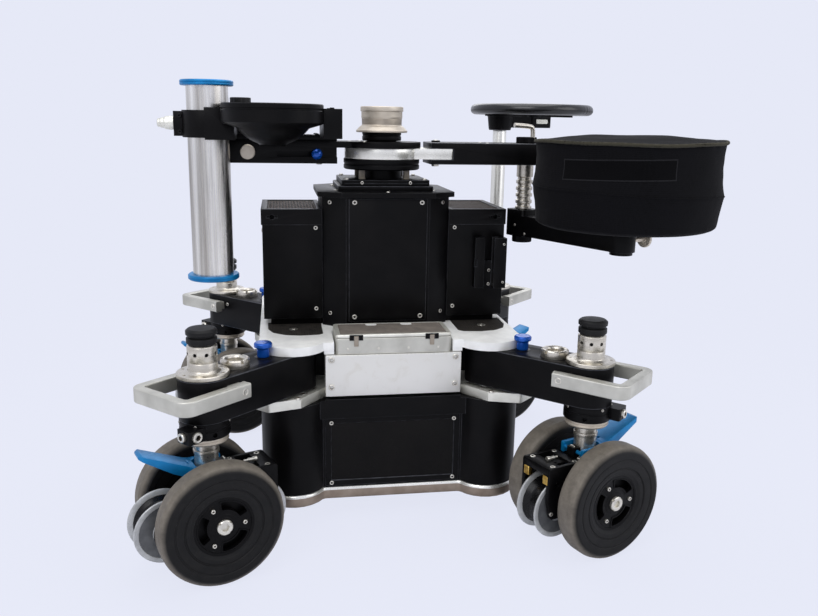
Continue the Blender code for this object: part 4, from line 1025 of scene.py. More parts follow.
def makeLowerHousing():
    s = chassisSizes
    shell = slab(lobedSquare(s["half"] - 1, s["lobe"] - 2), s["housingLow"], s["housingHigh"])
    strips = [box((-x, side * y, low), (x, side * 221, high)) for side in (-1, 1)
              for x, y, low, high in ((145, 211, 209.5, 242.2), (128, 216, 214.5, 246.8))]
    cut(shell, box((-128.3, -240, 72.7), (128.3, -210, 209.3)), squareBox(s["mastHalf"], 86, 400))
    joined(shell, *strips)
    for side in (-1, 1):
        # Shut lines where the corner panels meet the front and back ones
        for x in (-150, 150):
            cut(shell, box((x - 0.6, side * 213, 71.5), (x + 0.6, side * 216, 241)))
        for y in (-146, 146):
            cut(shell, box((side * 213, y - 0.6, 71.5), (side * 216, y + 0.6, 241)))
    return softened(shell, 1.3, 2, 40)


def makeServicePanel():
    panel = box((-128, -215, 73), (128, -210.3, 209))
    cut(panel, box((-117, -230, 84), (117, -213, 198)))
    return softened(panel, 0.7, 1, 40)


def makeInsetPlate():
    return softened(box((-116.7, -213.9, 84.3), (116.7, -212.2, 197.7)), 0.5, 1, 40)


def flangeOutline():
    # Each corner runs out along the arm's rest direction to a blunt nose
    nose = [(-37.5, -44.5, 6), (37.5, -54.4, 4), (91, -26, 8), (91, 26, 8), (37.5, 54.4, 4), (-37.5, 44.5, 6)]
    return fillet([(*cornerPoint(corner, u, v), radius) for corner in range(4) for u, v, radius in nose])


def makeFlange():
    s = chassisSizes
    flange = slab(flangeOutline(), s["flangeLow"], s["flangeHigh"])
    holes = [slab(circle(8.0, 24, *cornerPoint(corner, u, v)), s["flangeHigh"] - 4.5, 300)
             for corner in range(4) for u, v in flangeHoles]
    cut(flange, squareBox(s["mastHalf"], 0, 500), *holes)
    return softened(flange, 1.6, 2, 40)


def makeChassisCore():
    # The black body between the flange and the deck, with the round arm pivots
    s = chassisSizes
    core = box((-122, -190, 260), (122, 190, 330.7))
    joined(core, squareBox(s["coreHalf"], 259, 338.4), box((-210, -113, 258), (210, 113, 338.3)),
           box((-117, 109, 280), (117, 212, 338.2)),
           *(slab(circle(20, 28, x * s["pivot"], y * s["pivot"]), 257, 338.4) for x, y in quarters))
    cut(core, squareBox(s["mastHalf"], 0, 500))
    return softened(core, 1.0, 1, 40)


def makeFacePlates():
    s = chassisSizes
    half, face = s["plateHalf"], s["plateFace"]
    return gathered([softened(box((-half, side * 189.5, 251.5), (half, side * face, 330.5)), 1.2, 2, 40)
                     for side in (-1, 1)])


def makeDeck():
    s = chassisSizes
    low, high, wide = s["deckLow"], s["deckHigh"], s["deckHalf"]
    deck = slab(lobedSquare(s["half"], s["lobe"], 18), low, high)
    joined(deck, box((-wide, -s["pivot"], low + 0.02), (wide, s["pivot"], high - 0.02)))
    joined(deck, *(box((side * 110, -214, 332), (side * 129, -122, 349.5)) for side in (-1, 1)))
    cut(deck, box((-111, -300, 300), (111, -125, 400)), squareBox(s["mastHalf"], 300, 400),
        *(slab(padOutline(x, y, 1.0), high - 1.4, 400) for x, y in quarters))
    return softened(deck, 3.4, 4, 50)


def padOutline(signX, signY, grow):
    s = chassisSizes
    back = s["padBack"][signY > 0]
    run = s["padRun"] if signX > 0 else 0.0
    low = [(s["padX"], back, 5), (s["padX"], 146, 4), (134, 155, 6), (168, 159, 10), (197, 153, 20), (220, 134, 20),
           (230, max(104, back + 7), 6), (231, back, 3)]
    points = []
    for x, y, radius in low:
        x += run + (grow if x > 130 else -grow)
        y += grow if y > back else -grow
        points.append((signX * x, signY * y, radius))
    return fillet(points)


def makePads():
    high = chassisSizes["deckHigh"]
    return gathered([softened(slab(padOutline(x, y, 0.0), high - 1.6, high - 0.4), 0.5, 1, 50, bright=False)
                     for x, y in quarters])


def addBlock(verts, faces, foot, top):
    # Eight points and six faces between a foot and a top of four points each
    n = len(verts)
    verts += [*foot, *top]
    faces += [(n, n + 3, n + 2, n + 1), (n + 4, n + 5, n + 6, n + 7)]
    faces += [(n + k, n + (k + 1) % 4, n + 4 + (k + 1) % 4, n + 4 + k) for k in range(4)]


def makePimples():
    # Rows of raised pimples, left out round the pads' screws and past their curved edge
    s = chassisSizes
    verts, faces = [], []
    pitch, screwX = s["pimplePitch"], s["padScrewX"]
    ring = ((-1, -1), (1, -1), (1, 1), (-1, 1))
    for signX, signY in quarters:
        screwY, back = s["padScrewY"][signY > 0] * signY, s["padBack"][signY > 0]
        for row in range(22):
            for column in range(21):
                x, y = s["padX"] + 5 + column * pitch, back + 4 + row * pitch
                reachY = 156 if x < 172 else 156 - (x - 172) ** 2 * 0.0155
                if y > reachY or x > 228 or hypot(x - screwX, y - screwY) < s["padScrewGap"]:
                    continue
                x += s["padRun"] if signX > 0 else 0.0
                foot, top = ([(signX * (x + dx * half), signY * (y + dy * half), s["deckHigh"] - drop)
                              for dx, dy in ring] for half, drop in ((1.5, 0.5), (0.8, 0.02)))
                addBlock(verts, faces, foot, top)
    return fromLists(verts, faces)


# Tool case: a thin aluminium tray with a matted lid and two spring latches

caseSizes = {"halfX": 108.0, "front": -215.0, "back": -127.0, "floor": 331.3, "rim": 361.0, "lidTop": 368.0,
             "wall": 2.5, "latchX": 70.5, "tabs": (-35, 33), "rivets": (-86, -29, 27, 83)}


def caseSlab(inset, radius, low, high):
    s = caseSizes
    half = s["halfX"] - inset
    return slab(roundRect(-half, s["front"] + inset, half, s["back"] - inset, radius, 6), low, high)


def makeCaseBody():
    s = caseSizes
    body = caseSlab(0, 8, s["floor"], s["rim"])
    cut(body, caseSlab(s["wall"], 6, s["floor"] + s["wall"], s["rim"] + 10))
    return softened(body, 0.9, 2, 50)


def makeCaseLid():
    s = caseSizes
    lid = softened(caseSlab(0, 8, s["rim"] + 0.3, s["lidTop"]), 2.6, 4, 50, bright=False)
    cut(lid, caseSlab(s["wall"], 6, s["rim"] - 5, s["lidTop"] - s["wall"]),
        slab(roundRect(-99.5, -208, 99.5, -133, 3, 4), s["lidTop"] - 1.2, 400))
    return softened(lid, 0.3, 1, 50)


def tabOutline(x, half, back, front, corner, bend):
    return fillet([(x - half, back, corner), (x - half, front, bend), (x + half, front, bend),
                   (x + half, back, corner)], 0, 5)


def makeLidMat():
    s = caseSizes
    mat = slab(roundRect(-98.9, -207.4, 98.9, -133.6, 3, 4), s["lidTop"] - 1.3, s["lidTop"] - 0.25)
    wells = [slab(tabOutline(x, 11, -133, -147, 0, 7), 360, 400) for x in s["tabs"]]
    return softened(cut(mat, *wells), 0.3, 1, 50, bright=False)


def makeLidTabs():
    top = caseSizes["lidTop"]
    return gathered([softened(slab(tabOutline(x, 10.4, -133.8, -146.4, 1, 6.5), top - 1.3, top - 0.1), 0.3, 1, 50,
                              bright=False) for x in caseSizes["tabs"]])


def makeLatchBrackets():
    s = caseSizes
    brackets = []
    for x in (-s["latchX"], s["latchX"]):
        plate = slab(roundRect(x - 12.5, -216.6, x + 12.5, -214.6, 0.6, 2), s["rim"] - 3.5, s["lidTop"] - 0.1)
        cut(plate, box((x - 4.8, -220, s["rim"] - 2), (x + 4.8, -215.6, s["lidTop"] - 3.0)))
        brackets.append(softened(plate, 0.4, 1, 40))
    return gathered(brackets)


def makeLatchTongue():
    # About the tongue's own hinge, at its foot
    strip = placed(slab(roundRect(-4.0, -0.5, 4.0, 17.6, 1.2, 3), -0.6, 0.6), turn(pi / 2, "X"))
    lip = softened(box((-4.0, -1.9, -0.5), (4.0, -0.5, 1.4)), 0.4, 1, 40, bright=False)
    curl = placed(rod(1.3, -4.0, 4.0, 14), shift(0, 0, 17.2) @ turn(pi / 2, "Y"))
    return gathered([softened(strip, 0.2, 1, 40, bright=False), lip, curl])


def caseRivets():
    heads = []
    for x in caseSizes["rivets"]:
        dome = lathe([(0, -0.5), (2.6, -0.5), (2.4, 0.2), (1.6, 0.6), (0, 0.75)], 16)
        heads.append(placed(dome, shift(x, caseSizes["front"], 341.5) @ turn(pi / 2, "X")))
    return gathered(heads)


def padScrewPoints():
    s = chassisSizes
    return [(side * s["padScrewX"] + (s["padRun"] if side > 0 else 0), y)
            for side in (-1, 1) for y in s["padScrewY"]]


def chassisScrews():
    s = chassisSizes
    spots = []
    for x in (-116, 116):
        spots += [((x, side * s["plateFace"], z), (0, side, 0), 5.6, 2.4) for z in (269.5, 322) for side in (-1, 1)]
        spots += [((x * 1.006, -215.0, z), (0, -1, 0), 4.0, 1.6) for z in (79, 199)]
    for corner in range(4):
        for u, v in flangeHoles:
            spots.append(((*cornerPoint(corner, u, v), s["flangeHigh"] - 4.5), (0, 0, 1), 6.2, 4.0))
        for v in (-48.5, 48.5):
            spots.append(((*cornerPoint(corner, 40, v), s["flangeHigh"] - 0.6), (0, 0, 1), 6.0, 2.6))
    spots += [((x, y, s["deckHigh"] - 0.6), (0, 0, 1), 5.0, 0.5) for x, y in padScrewPoints()]
    spots += [((side * 243, y, 345), (side, 0, 0), 3.2, 2.0) for side in (-1, 1) for y in (-52, 60)]
    return screwSet(spots)


def makePadWashers():
    ring = [(5.6, -1.2), (5.6, -0.1), (6.4, 0.3), (8.2, 0.2), (8.8, -0.4), (8.8, -1.2)]
    return gathered([placed(spun(ring, 28, 0.2, 1, True), shift(x, y, chassisSizes["deckHigh"] - 0.35))
                     for x, y in padScrewPoints()])


addSet("chassis", (
    ("base_plate_body", makeBasePlate(), "satinEdge rubbed", "base_satin", "base_plate"),
    ("housing_shell", makeLowerHousing(), anodised, "black_anodised", "lower_housing"),
    ("service_panel_frame", makeServicePanel(), anodised, "black_anodised", "service_panel"),
    ("service_panel_inset", makeInsetPlate(), "blackGloss blackEdge", "black_anodised"),
    ("flange_plate", makeFlange(), "satin satinEdge", "frame_satin", "chassis_frame"),
    ("chassis_core", makeChassisCore(), anodised, "frame_satin"),
    ("face_plates", makeFacePlates(), "stained satinEdge", "frame_satin"),
    ("deck_casting", makeDeck(), "cast castEdge", "deck_cast", "deck"),
    ("foot_pads", makePads(), "pad", "deck_cast"),
    ("foot_pad_pimples", makePimples(), "pad", "deck_cast"),
    ("foot_pad_washers", makePadWashers(), "fastener", "deck_cast"),
    ("chassis_screws", chassisScrews(), screwed, "frame_satin"),
    ("case_tray", makeCaseBody(), "satinGrey satin", "case_satin", "tool_case"),
    ("case_rivets", caseRivets(), "fastener", "case_satin")))
addSet("lid", (
    ("case_lid", makeCaseLid(), "satin satinEdge", "case_satin", "tool_case_lid"),
    ("case_lid_mat", makeLidMat(), "lidPad", "case_satin"),
    ("case_lid_tabs", makeLidTabs(), "white", "case_satin"),
    ("latch_brackets", makeLatchBrackets(), anodised, "latch_steel")))
latchMesh = finished(makeLatchTongue(), "champagneDark")
for side, word in ((-1, "left"), (1, "right")):
    addPiece("latch_tongue_" + word, latchMesh, "latch_" + word[0], "latch_steel", ["latch_" + word],
             columnFrame @ inMetres(side * caseSizes["latchX"], -216.5, 347))
print("stage: chassis, deck and tool case placed")


# Column: eight-sided housing with a raised front panel, a cap plate and two side pods

columnSizes = {"halfX": 124.0, "halfY": 112.0, "cutX": 44.0, "cutY": 34.0, "low": 351.3, "high": 608.0,
               "capTop": 617.0, "capSpread": 9.0, "panelHalf": 75.5, "podInner": 124.3, "podOuter": 240.0,
               "podFront": -82.0, "podBack": 108.0, "podTop": 583.0, "bandLow": 553.0, "podLow": 368.5,
               "plinthIn": 15.0, "wirePitch": 3.4}


def octagon(halfX, halfY, cutX, cutY):
    quarter = [(halfX - cutX, -halfY), (halfX, -halfY + cutY)]
    right = quarter + [(x, -y) for x, y in reversed(quarter)]
    return right + [(-x, -y) for x, y in right]


def makeColumn():
    s = columnSizes
    low, high = s["low"], s["high"]
    column, cap = (slab(octagon(s["halfX"] + spread, s["halfY"] + spread, s["cutX"], s["cutY"]), foot, top)
                   for spread, foot, top in ((0.0, low, high), (s["capSpread"], high - 0.4, s["capTop"])))
    joined(column, cap)
    # Shut lines beside the corner plates
    lines = []
    for side in (-1, 1):
        lines += [box((x - 0.5, side * 111, low + 3), (x + 0.5, side * 113, high - 3)) for x in (-80.6, 80.6)]
        lines += [box((side * 123, y - 0.5, low + 3), (side * 125, y + 0.5, high - 3)) for y in (-79, 79)]
    cut(column, *lines, squareBox(50.5, 300, 700))
    return softened(column, 1.1, 2, 30)


def makeColumnPanels():
    s = columnSizes
    half, low, high = s["panelHalf"], s["low"] + 17, s["high"] - 2
    return gathered([softened(box((-half, side * 111.5, low), (half, side * 115.0, high)), 0.8, 2, 40)
                     for side in (-1, 1)])


def columnScrews():
    s = columnSizes
    spots = []
    for side in (-1, 1):
        spots += [((x, side * 115.0, z), (0, side, 0), 4.6, 1.6) for x in (-64.5, 64.5) for z in (377.5, 599)]
        for x in (-1, 1):
            # On the corner facets, nearer to their outer edge
            outward = Vector((x * s["cutY"], side * s["cutX"], 0)).normalized()
            middle = Vector((x * (s["halfX"] - s["cutX"] * 0.33), side * (s["halfY"] - s["cutY"] * 0.67), 0))
            spots += [(middle + Vector((0, 0, z)), outward, 4.0, 1.8) for z in (380.5, 597)]
    spots += [((x, y, s["capTop"] - 0.1), (0, 0, 1), 4.0, 1.6)
              for x, y in ((-96, -60), (96, -60), (-96, 60), (96, 60), (0, -104), (0, 104))]
    return screwSet(spots)


def makePod(side):
    s = columnSizes
    inner, outer, front, back = s["podInner"], s["podOuter"], s["podFront"], s["podBack"]
    indent, top = s["plinthIn"], s["podTop"]
    pod = box((side * inner, front + 1.5, s["podLow"]), (side * (outer - 2), back - 1.5, 574))
    plinth = box((side * inner, front + indent, chassisSizes["deckHigh"] - 0.3),
                 (side * (outer - indent), back - indent, s["podLow"] + 5))
    joined(pod, box((side * inner, front, s["bandLow"]), (side * outer, back, top)), plinth)
    keyX = side * (outer - 21)
    # The tray for the wire, a keyhole and its slot, and shut lines down the side
    cut(pod, box((side * (inner + 9), front + 12, top - 5), (side * (outer - 11), back - 12, 700)),
        placed(slab(circle(4.8, 24), -20, 9), shift(keyX, front, 568) @ turn(pi / 2, "X")),
        box((keyX - 11, front - 5, 566), (keyX + 11, front + 5, 570)),
        *(box((side * (outer - 2.6), y, 360), (side * (outer + 2), y + 1, 548)) for y in (front + 10, back - 11)))
    return softened(pod, 1.2, 2, 40)


def makePodMesh(side):
    # Woven wire let into the top of the pod, over a dark tray
    s = columnSizes
    low, high = s["podInner"] + 9.5, s["podOuter"] - 11.5
    front, back = s["podFront"] + 12.5, s["podBack"] - 12.5
    verts, faces = [], []

    def wire(x0, y0, x1, y1, z0):
        xLow, xHigh = sorted((side * x0, side * x1))
        foot, top = ([(xLow, y0, z), (xHigh, y0, z), (xHigh, y1, z), (xLow, y1, z)] for z in (z0, z0 + 1.3))
        addBlock(verts, faces, foot, top)

    count = int((high - low) / s["wirePitch"])
    for k in range(count + 1):
        x = low + (high - low) * k / count
        wire(x - 0.6, front, x + 0.6, back, 579.6)
    count = int((back - front) / s["wirePitch"])
    for k in range(count + 1):
        y = front + (back - front) * k / count
        wire(low, y - 0.6, high, y + 0.6, 580.1)
    return fromLists(verts, faces)


def makeHandsetRails():
    # Two upright channel rails on the right pod, for a hand control
    front = columnSizes["podFront"]
    left = box((176, front - 17, 428), (195, front + 3, 528))
    right = box((213, front - 24, 428), (238, front + 3, 528))
    back = box((178, front - 3, 428.5), (236, front + 3, 480))
    joined(left, right, back)
    cut(left, box((187, front - 11, 432), (199, front - 4, 560)), box((205, front - 18, 432), (226, front - 4, 560)),
        box((176 - 3, front - 20, 470), (181, front - 12, 486)))
    return softened(left, 0.9, 2, 40)


def podScrews():
    s = columnSizes
    front, back = s["podFront"], s["podBack"]
    spots = []
    for side in (-1, 1):
        for z in (547, 388):
            spots.append(((side * 136.5, front + 1.5, z), (0, -1, 0), 4.0, 1.6))
            spots.append(((side * 136.5, back - 1.5, z), (0, 1, 0), 3.4, 1.6))
        spots += [((side * (s["podOuter"] - 2), y, z), (side, 0, 0), 3.4, 1.6) for y in (-60, 86) for z in (372, 540)]
    spots += [((208, front - 3, z), (0, -1, 0), 3.2, 2.0) for z in (461, 433)]
    spots += [((232, front - 24, z), (0, -1, 0), 2.4, 1.2) for z in (440, 516)]
    return screwSet(spots)


addSet("chassis", (
    ("column_shell", makeColumn(), anodised, "black_anodised", "column_housing"),
    ("column_panels", makeColumnPanels(), anodised, "black_anodised"),
    ("column_screws", columnScrews(), screwed, "black_anodised"),
    ("pod_left", makePod(-1), anodised, "black_anodised", "side_pod_left"),
    ("pod_mesh_left", makePodMesh(-1), "mesh", "black_anodised"),
    ("pod_right", makePod(1), anodised, "black_anodised", "side_pod_right"),
    ("pod_mesh_right", makePodMesh(1), "mesh", "black_anodised"),
    ("handset_rails", makeHandsetRails(), anodised, "black_anodised"),
    ("pod_screws", podScrews(), screwed, "black_anodised")))
print("stage: column and pods placed")


# Lift head: mast, layered plates, and the disc that carries both turnstile bars

headSizes = {"mastHalf": 50.0, "mastLow": 90.0, "plateLow": 617.3, "headTop": 638.0, "discTop": 676.5,
             "ringTop": 697.2, "barLow": 667.0, "barHigh": 709.5, "barHalf": 45.0, "neckBase": 727.0}


def makeMast():
    s = headSizes
    half, low = s["mastHalf"], s["mastLow"]
    mast = slab(centredRect(half, half, 6, 4), low, s["headTop"] - 3)
    cut(mast, *(placed(box((x - 3.5, half - 3.0, low - 5), (x + 3.5, half + 3, 612)), turn(k * pi / 2))
                for k in range(4) for x in (-22, 22)))
    return softened(mast, 0.6, 1, 50)


def makeHeadPlates():
    s = headSizes
    low = softened(slab(centredRect(93, 84, 11), s["plateLow"], 627.0), 1.0, 2, 40)
    high = slab(centredRect(86, 78, 9), 627.3, s["headTop"])
    cut(high, *(box((-100, side * 76.8, 632.2), (100, side * 90, 633.2)) for side in (-1, 1)))
    softened(high, 1.0, 2, 40)
    disc = spun([(0, 655.4), (73.5, 655.4), (76, 657.5), (76, 664.0), (74.6, 665.0), (74.6, 666.6), (76, 667.6),
                 (76, 675.2), (74.8, 676.5), (0, 676.5)], 72, 0.5)
    neck = spun([(0, 676.0), (30.0, 676.0), (30.0, 711.4), (37.5, 711.4), (39, 712.6), (39, 719.0), (37.8, 720.0),
                 (37.8, 722.0), (39, 723.0), (39, 725.6), (38.2, 726.6), (0, 726.6)], 56, 0.3)
    return gathered([low, high, disc, neck, rod(40, 637.5, 655.8, 48)])


def makePillars():
    # Aluminium pillars in the disc's shade, given the darker painted-shade finish
    pillars = []
    for k in range(4):
        a = pi / 4 + k * pi / 2
        pillar = placed(slab(centredRect(6, 6, 2.5, 4), 637.6, 655.6), shift(62 * cos(a), 62 * sin(a), 0))
        pillars.append(softened(pillar, 0.5, 1, 60, bright=False))
    return gathered(pillars)


def headScrews():
    top = headSizes["headTop"]
    spots = []
    for side in (-1, 1):
        spots += [((x, side * 78.0, top - 5), (0, side, 0), 3.2, 1.6) for x in (-47, 47)]
        spots += [((x, side * 68.0, top), (0, 0, 1), 4.2, 3.0) for x in (-76, 76)]
    spots += [((*point, headSizes["neckBase"] - 0.5), (0, 0, 1), 2.0, 0.4) for point in circle(34, 6, start=0.26)]
    return screwSet(spots)


def makeNeckCap():
    # The cap's top, its darker band and its foot, drawn from the neck's top up
    top = [(0, 48.6), (38.6, 48.6), (39.4, 50), (41.2, 50), (42.5, 48.8), (42.5, 41.5), (41.6, 40.4), (40.6, 40.0),
           (40.8, 30), (40.2, 26.2), (39.6, 25.8)]
    band = [(0, 26.5), (39.6, 26.2), (39.9, 25.2), (39.5, 15.0), (0, 14.6)]
    foot = [(0, 16), (39.6, 15.2), (40.0, 13.6), (44.5, 10.5, 3), (49.0, 5.6, 2), (51.0, 4.2, 1), (51.0, 0.8, 0.5),
            (50.0, 0), (0, 0)]
    return [placed(spun(points, 72, radius, arc), shift(0, 0, headSizes["neckBase"]))
            for points, radius, arc in ((top, 0.5, 2), (band, 0.4, 1), (foot, 0.4, 3))]


def makeRing():
    low, high = headSizes["discTop"], headSizes["ringTop"]
    ring = slab(circle(74, 96), low + 0.3, high)
    tongue = fillet([(30, -44), (137, -44, 3), (137, 44, 3), (30, 44)], 0, 3)
    joined(ring, slab(tongue, low + 0.32, high - 0.02))
    cut(ring, slab(circle(30.5, 56), 600, 800), slab(circle(5.6, 20, 110, 0), 600, 800))
    return softened(ring, 1.0, 2, 40)


def makeSeatBar():
    s = headSizes
    half = s["barHalf"]
    bar = slab(fillet([(92, -half), (340, -half, 7), (340, half, 7), (92, half)]), s["barLow"], s["barHigh"])
    cut(bar, box((0, -100, s["discTop"]), (137.3, 100, s["ringTop"] + 0.3)),
        slab(circle(17.4, 40, layout["seatPostX"], 0), 600, 800))
    return softened(bar, 1.3, 2, 40)


def makeKnurled(inner, outer, low, high, teeth):
    # A collar with straight knurling round its middle
    ring = [(inner, low), (outer - 1.2, low), (outer, low + 1.2), (outer, high - 1.2), (outer - 1.2, high),
            (inner, high)]
    steps = teeth * 2
    verts = []
    for radius, height in ring:
        for k in range(steps):
            r = radius - (0.8 if k % 2 and radius >= outer else 0.0)
            a = 2 * pi * k / steps
            verts.append((r * cos(a), r * sin(a), height))
    return fromLists(verts, tubeFaces(len(ring), steps))


def makeSeatBarFittings():
    collar = placed(makeKnurled(17.4, 21.0, 709.6, 722.0, 44), shift(layout["seatPostX"], 0, 0))
    bolt = spun([(0, 709.2), (9, 709.2), (9, 712.0), (8.2, 712.8), (0, 712.8)], 28, 0.4, 1)
    return gathered([collar, placed(bolt, shift(110, 0, 0))])


def seatBarScrews():
    screws = screwSet([((110, 0, 712.7), (0, 0, 1), 6.0, 1.3)]
                      + [((x, y, 709.4), (0, 0, 1), 4.2, 0.6) for y in (-30, 30) for x in (210, 324)])
    nut = placed(hexNut(7.5, 5.6), turn(pi, "X") @ shift(0, 0, -667.0))
    return gathered([screws, placed(gathered([rod(5.0, 661.5, 709.4, 18), nut]), shift(110, 0, 0))])


def makeBowlBar():
    s = headSizes
    half, low, high = s["barHalf"], s["ringTop"], s["barHigh"]
    bar = slab(fillet([(-92, half), (-320, half, 7), (-320, -half, 7), (-92, -half)]), s["barLow"], high)
    joined(bar, slab(circle(78, 96), low + 0.3, high - 0.02), box((-98, -44, low + 0.32), (-50, 44, high - 0.04)))
    cut(bar, slab(circle(30.5, 56), 600, 800), box((-207, -100, 679.5), (-118, -33, 690.5)),
        box((-118.5, -100, 679.4), (-50, -32.9, low)), box((-240, 44.2, 684), (-140, 46, 690)))
    return softened(bar, 1.3, 2, 40)


def makeDiscKnob():
    knob = spun([(0, -3), (6, -3), (6, 0.4), (13, 0.6), (14, 1.6), (14, 7.8), (12.8, 9), (4, 8.6), (0, 8.4)], 44, 0.4)
    return placed(knob, shift(-262, -45, 688) @ turn(pi / 2, "X"))


def makeLockBall():
    r = 10.6
    side = [(r * sin(pi * k / 14), r * cos(pi * k / 14)) for k in range(1, 14)]
    return placed(lathe([(0, r), *side, (0, -r)], 28), shift(-131, -44, 685))


def bowlBarScrews():
    tops = ((-150, 30), (-150, -30), (-64, 0), (-40, 52), (-40, -52))
    return screwSet([((-125, 0, 667.2), (0, 0, -1), 6.0, 4.0)]
                    + [((x, y, 709.4), (0, 0, 1), 4.0, 0.7) for x, y in tops]
                    + [((x, 45, 676), (0, 1, 0), 2.8, 1.0) for x in (-230, -150)])


capTop, capBand, capFoot = makeNeckCap()
addSet("lift", (
    ("mast", makeMast(), anodised, "black_anodised", "lift_mast"),
    ("head_plates", makeHeadPlates(), anodised, "black_anodised"),
    ("head_pillars", makePillars(), "pillar", "black_anodised"),
    ("head_screws", headScrews(), screwed, "black_anodised"),
    ("neck_cap_top", capTop, "champagne", "neck_champagne", "neck_cap"),
    ("neck_cap_band", capBand, "champagneDark", "neck_champagne"),
    ("neck_cap_foot", capFoot, "champagne", "neck_champagne")))
addSet("seat_turnstile", (
    ("turnstile_disc", makeRing(), "satinEdge satinEdge", "ring_satin", "turnstile_ring"),
    ("seat_bar_body", makeSeatBar(), anodised, "black_anodised", "seat_bar"),
    ("seat_bar_fittings", makeSeatBarFittings(), "black", "black_anodised"),
    ("seat_bar_screws", seatBarScrews(), screwed, "black_anodised")))
addSet("bowl_turnstile", (
    ("bowl_bar_body", makeBowlBar(), anodised, "black_anodised", "bowl_bar"),
    ("bar_disc_knob", makeDiscKnob(), "champagne", "black_anodised"),
    ("bar_lock_ball", makeLockBall(), "blueDeep", "black_anodised"),
    ("bowl_bar_screws", bowlBarScrews(), screwed, "black_anodised")))
print("stage: head and turnstile bars placed")


# Bowl holder: tube clamp, bracket over the bar, and the bowl for a half ball

bowlSizes = {"tubeX": -330.0, "tubeY": -90.0, "tubeRadius": 37.5, "clampLow": 715.0, "clampHigh": 763.0,
             "clampRadius": 46.0, "bowlX": -213.5, "bowlY": -160.0, "rim": 89.5, "ball": 75.0, "ballLevel": 784.0,
             "bowlTop": 776.0, "ringLow": 741.0, "tubeTop": 816.0, "tubeLow": 453.0, "ringOut": 47.5}


def makeHolder():
    s = bowlSizes
    x, y = s["tubeX"], s["tubeY"]
    clamp = slab(circle(s["clampRadius"], 64, x, y), s["clampLow"], s["clampHigh"])
    parts = [box((-332, -148, 712), (-281, -100, 768)), box((-306, -132, 712.1), (-281.1, -20, 761)),
             box((-305, -40, 709.8), (-92, 38, 721)), box((-125, -176, 717), (-92.1, -30, 769)),
             box((-124.9, -60, 716), (-92.2, -32, 722)), box((-290, -172, 745), (-270, -140, 767)),
             box((x - 60, y - 10, s["clampLow"] + 2), (x - 38, y + 10, s["clampHigh"] - 2))]
    joined(clamp, *parts)
    cut(clamp, slab(circle(s["tubeRadius"] + 0.35, 64, x, y), 600, 900),
        box((x - 70, y - 1.5, 600), (x, y + 1.5, 900)),
        slab(circle(s["rim"] - 1.0, 72, s["bowlX"], s["bowlY"]), s["ringLow"] + 1, 900),
        box((-290, -28, 716.5), (-278, 30, 800)), box((-250, -22, 717), (-140, 20, 800)))
    return softened(clamp, 1.4, 2, 40)


def makeBowl():
    s = bowlSizes
    ball, rim, top, low = s["ball"], s["rim"], s["bowlTop"], s["ringLow"]
    outer = []
    for k in range(13):
        a = radians(12 + 78 * k / 12)
        z = s["ballLevel"] - (ball + 6) * sin(a)
        if z < low - 1:
            outer.append((max((ball + 6) * cos(a), 24.0), z))
    inner = []
    for k in range(15):
        a = radians(88 - (88 - 6.2) * k / 14)
        if ball * cos(a) > 25:
            inner.append((ball * cos(a), s["ballLevel"] - ball * sin(a)))
    profile = [(24.0, inner[0][1]), *inner, (ball + 0.6, top - 0.4), (ball + 1.4, top), (rim - 1.6, top),
               (rim, top - 1.6), (rim, 768.0), (rim - 1.2, 766.8), (rim - 1.2, 765.0), (rim, 763.8), (rim, low + 3),
               (rim - 3, low), *outer]
    return placed(lathe(profile, 96, True), shift(s["bowlX"], s["bowlY"], 0))


def makeStarKnob():
    # Fluted hand knob on the bracket's clamp bolt
    outline = []
    for k in range(72):
        a = 2 * pi * k / 72
        r = 19.2 + 0.8 * cos(12 * a)
        outline.append((r * cos(a), r * sin(a)))
    knob = softened(slab(outline, 766, 789), 1.8, 3, 50, bright=False)
    return placed(gathered([knob, rod(11, 720, 766, 28)]), shift(-275, 2, 0))


def makeClampCone():
    # The clamp's silver hand screw, stepped and drawn to a point
    cone = spun([(0, 0), (12.5, 0), (12.5, 6.5, 0.4), (12.0, 7.0, 0.2), (12.3, 7.6, 0.3), (11.4, 15.0, 2.0),
                 (9.6, 17.0, 1.5), (9.2, 22.0, 2.0), (8.0, 24.0, 1.5), (7.4, 28.0, 1.2), (5.6, 29.0), (0, 29.0)],
                40, 0.2, 3)
    return placed(cone, turn(-pi / 2, "Y"))


def holderScrews():
    earX, earY = bowlSizes["tubeX"] - 49, bowlSizes["tubeY"] - 10
    return screwSet([((earX, earY, z), (0, -1, 0), 3.8, 2.2) for z in (725, 753)]
                    + [((x, y, 720.9), (0, 0, 1), 4.2, 2.6) for x in (-262, -130) for y in (-32, 30)]
                    + [((-108.5, y, 769), (0, 0, 1), 4.2, 2.4) for y in (-150, -60)])


def makeRiserTube():
    s = bowlSizes
    r, low, high = s["tubeRadius"], s["tubeLow"] + 2, s["tubeTop"] - 2
    return lathe([(r - 3, low), (r, low), (r, high), (r - 3, high)], 96, True)


def makeRiserRings():
    s = bowlSizes
    inner, outer = s["tubeRadius"] - 3.2, s["ringOut"]
    ring = [(inner, 0), (outer - 1.8, 0), (outer, 1.8), (outer, 4.2, 0.3), (outer - 0.9, 4.8, 0.2), (outer, 5.4, 0.3),
            (outer, 8.2), (outer - 1.8, 10), (inner, 10)]
    return gathered([placed(spun(ring, 80, 0.3, 2, True), shift(0, 0, low))
                     for low in (s["tubeLow"], s["tubeTop"] - 10.0)])


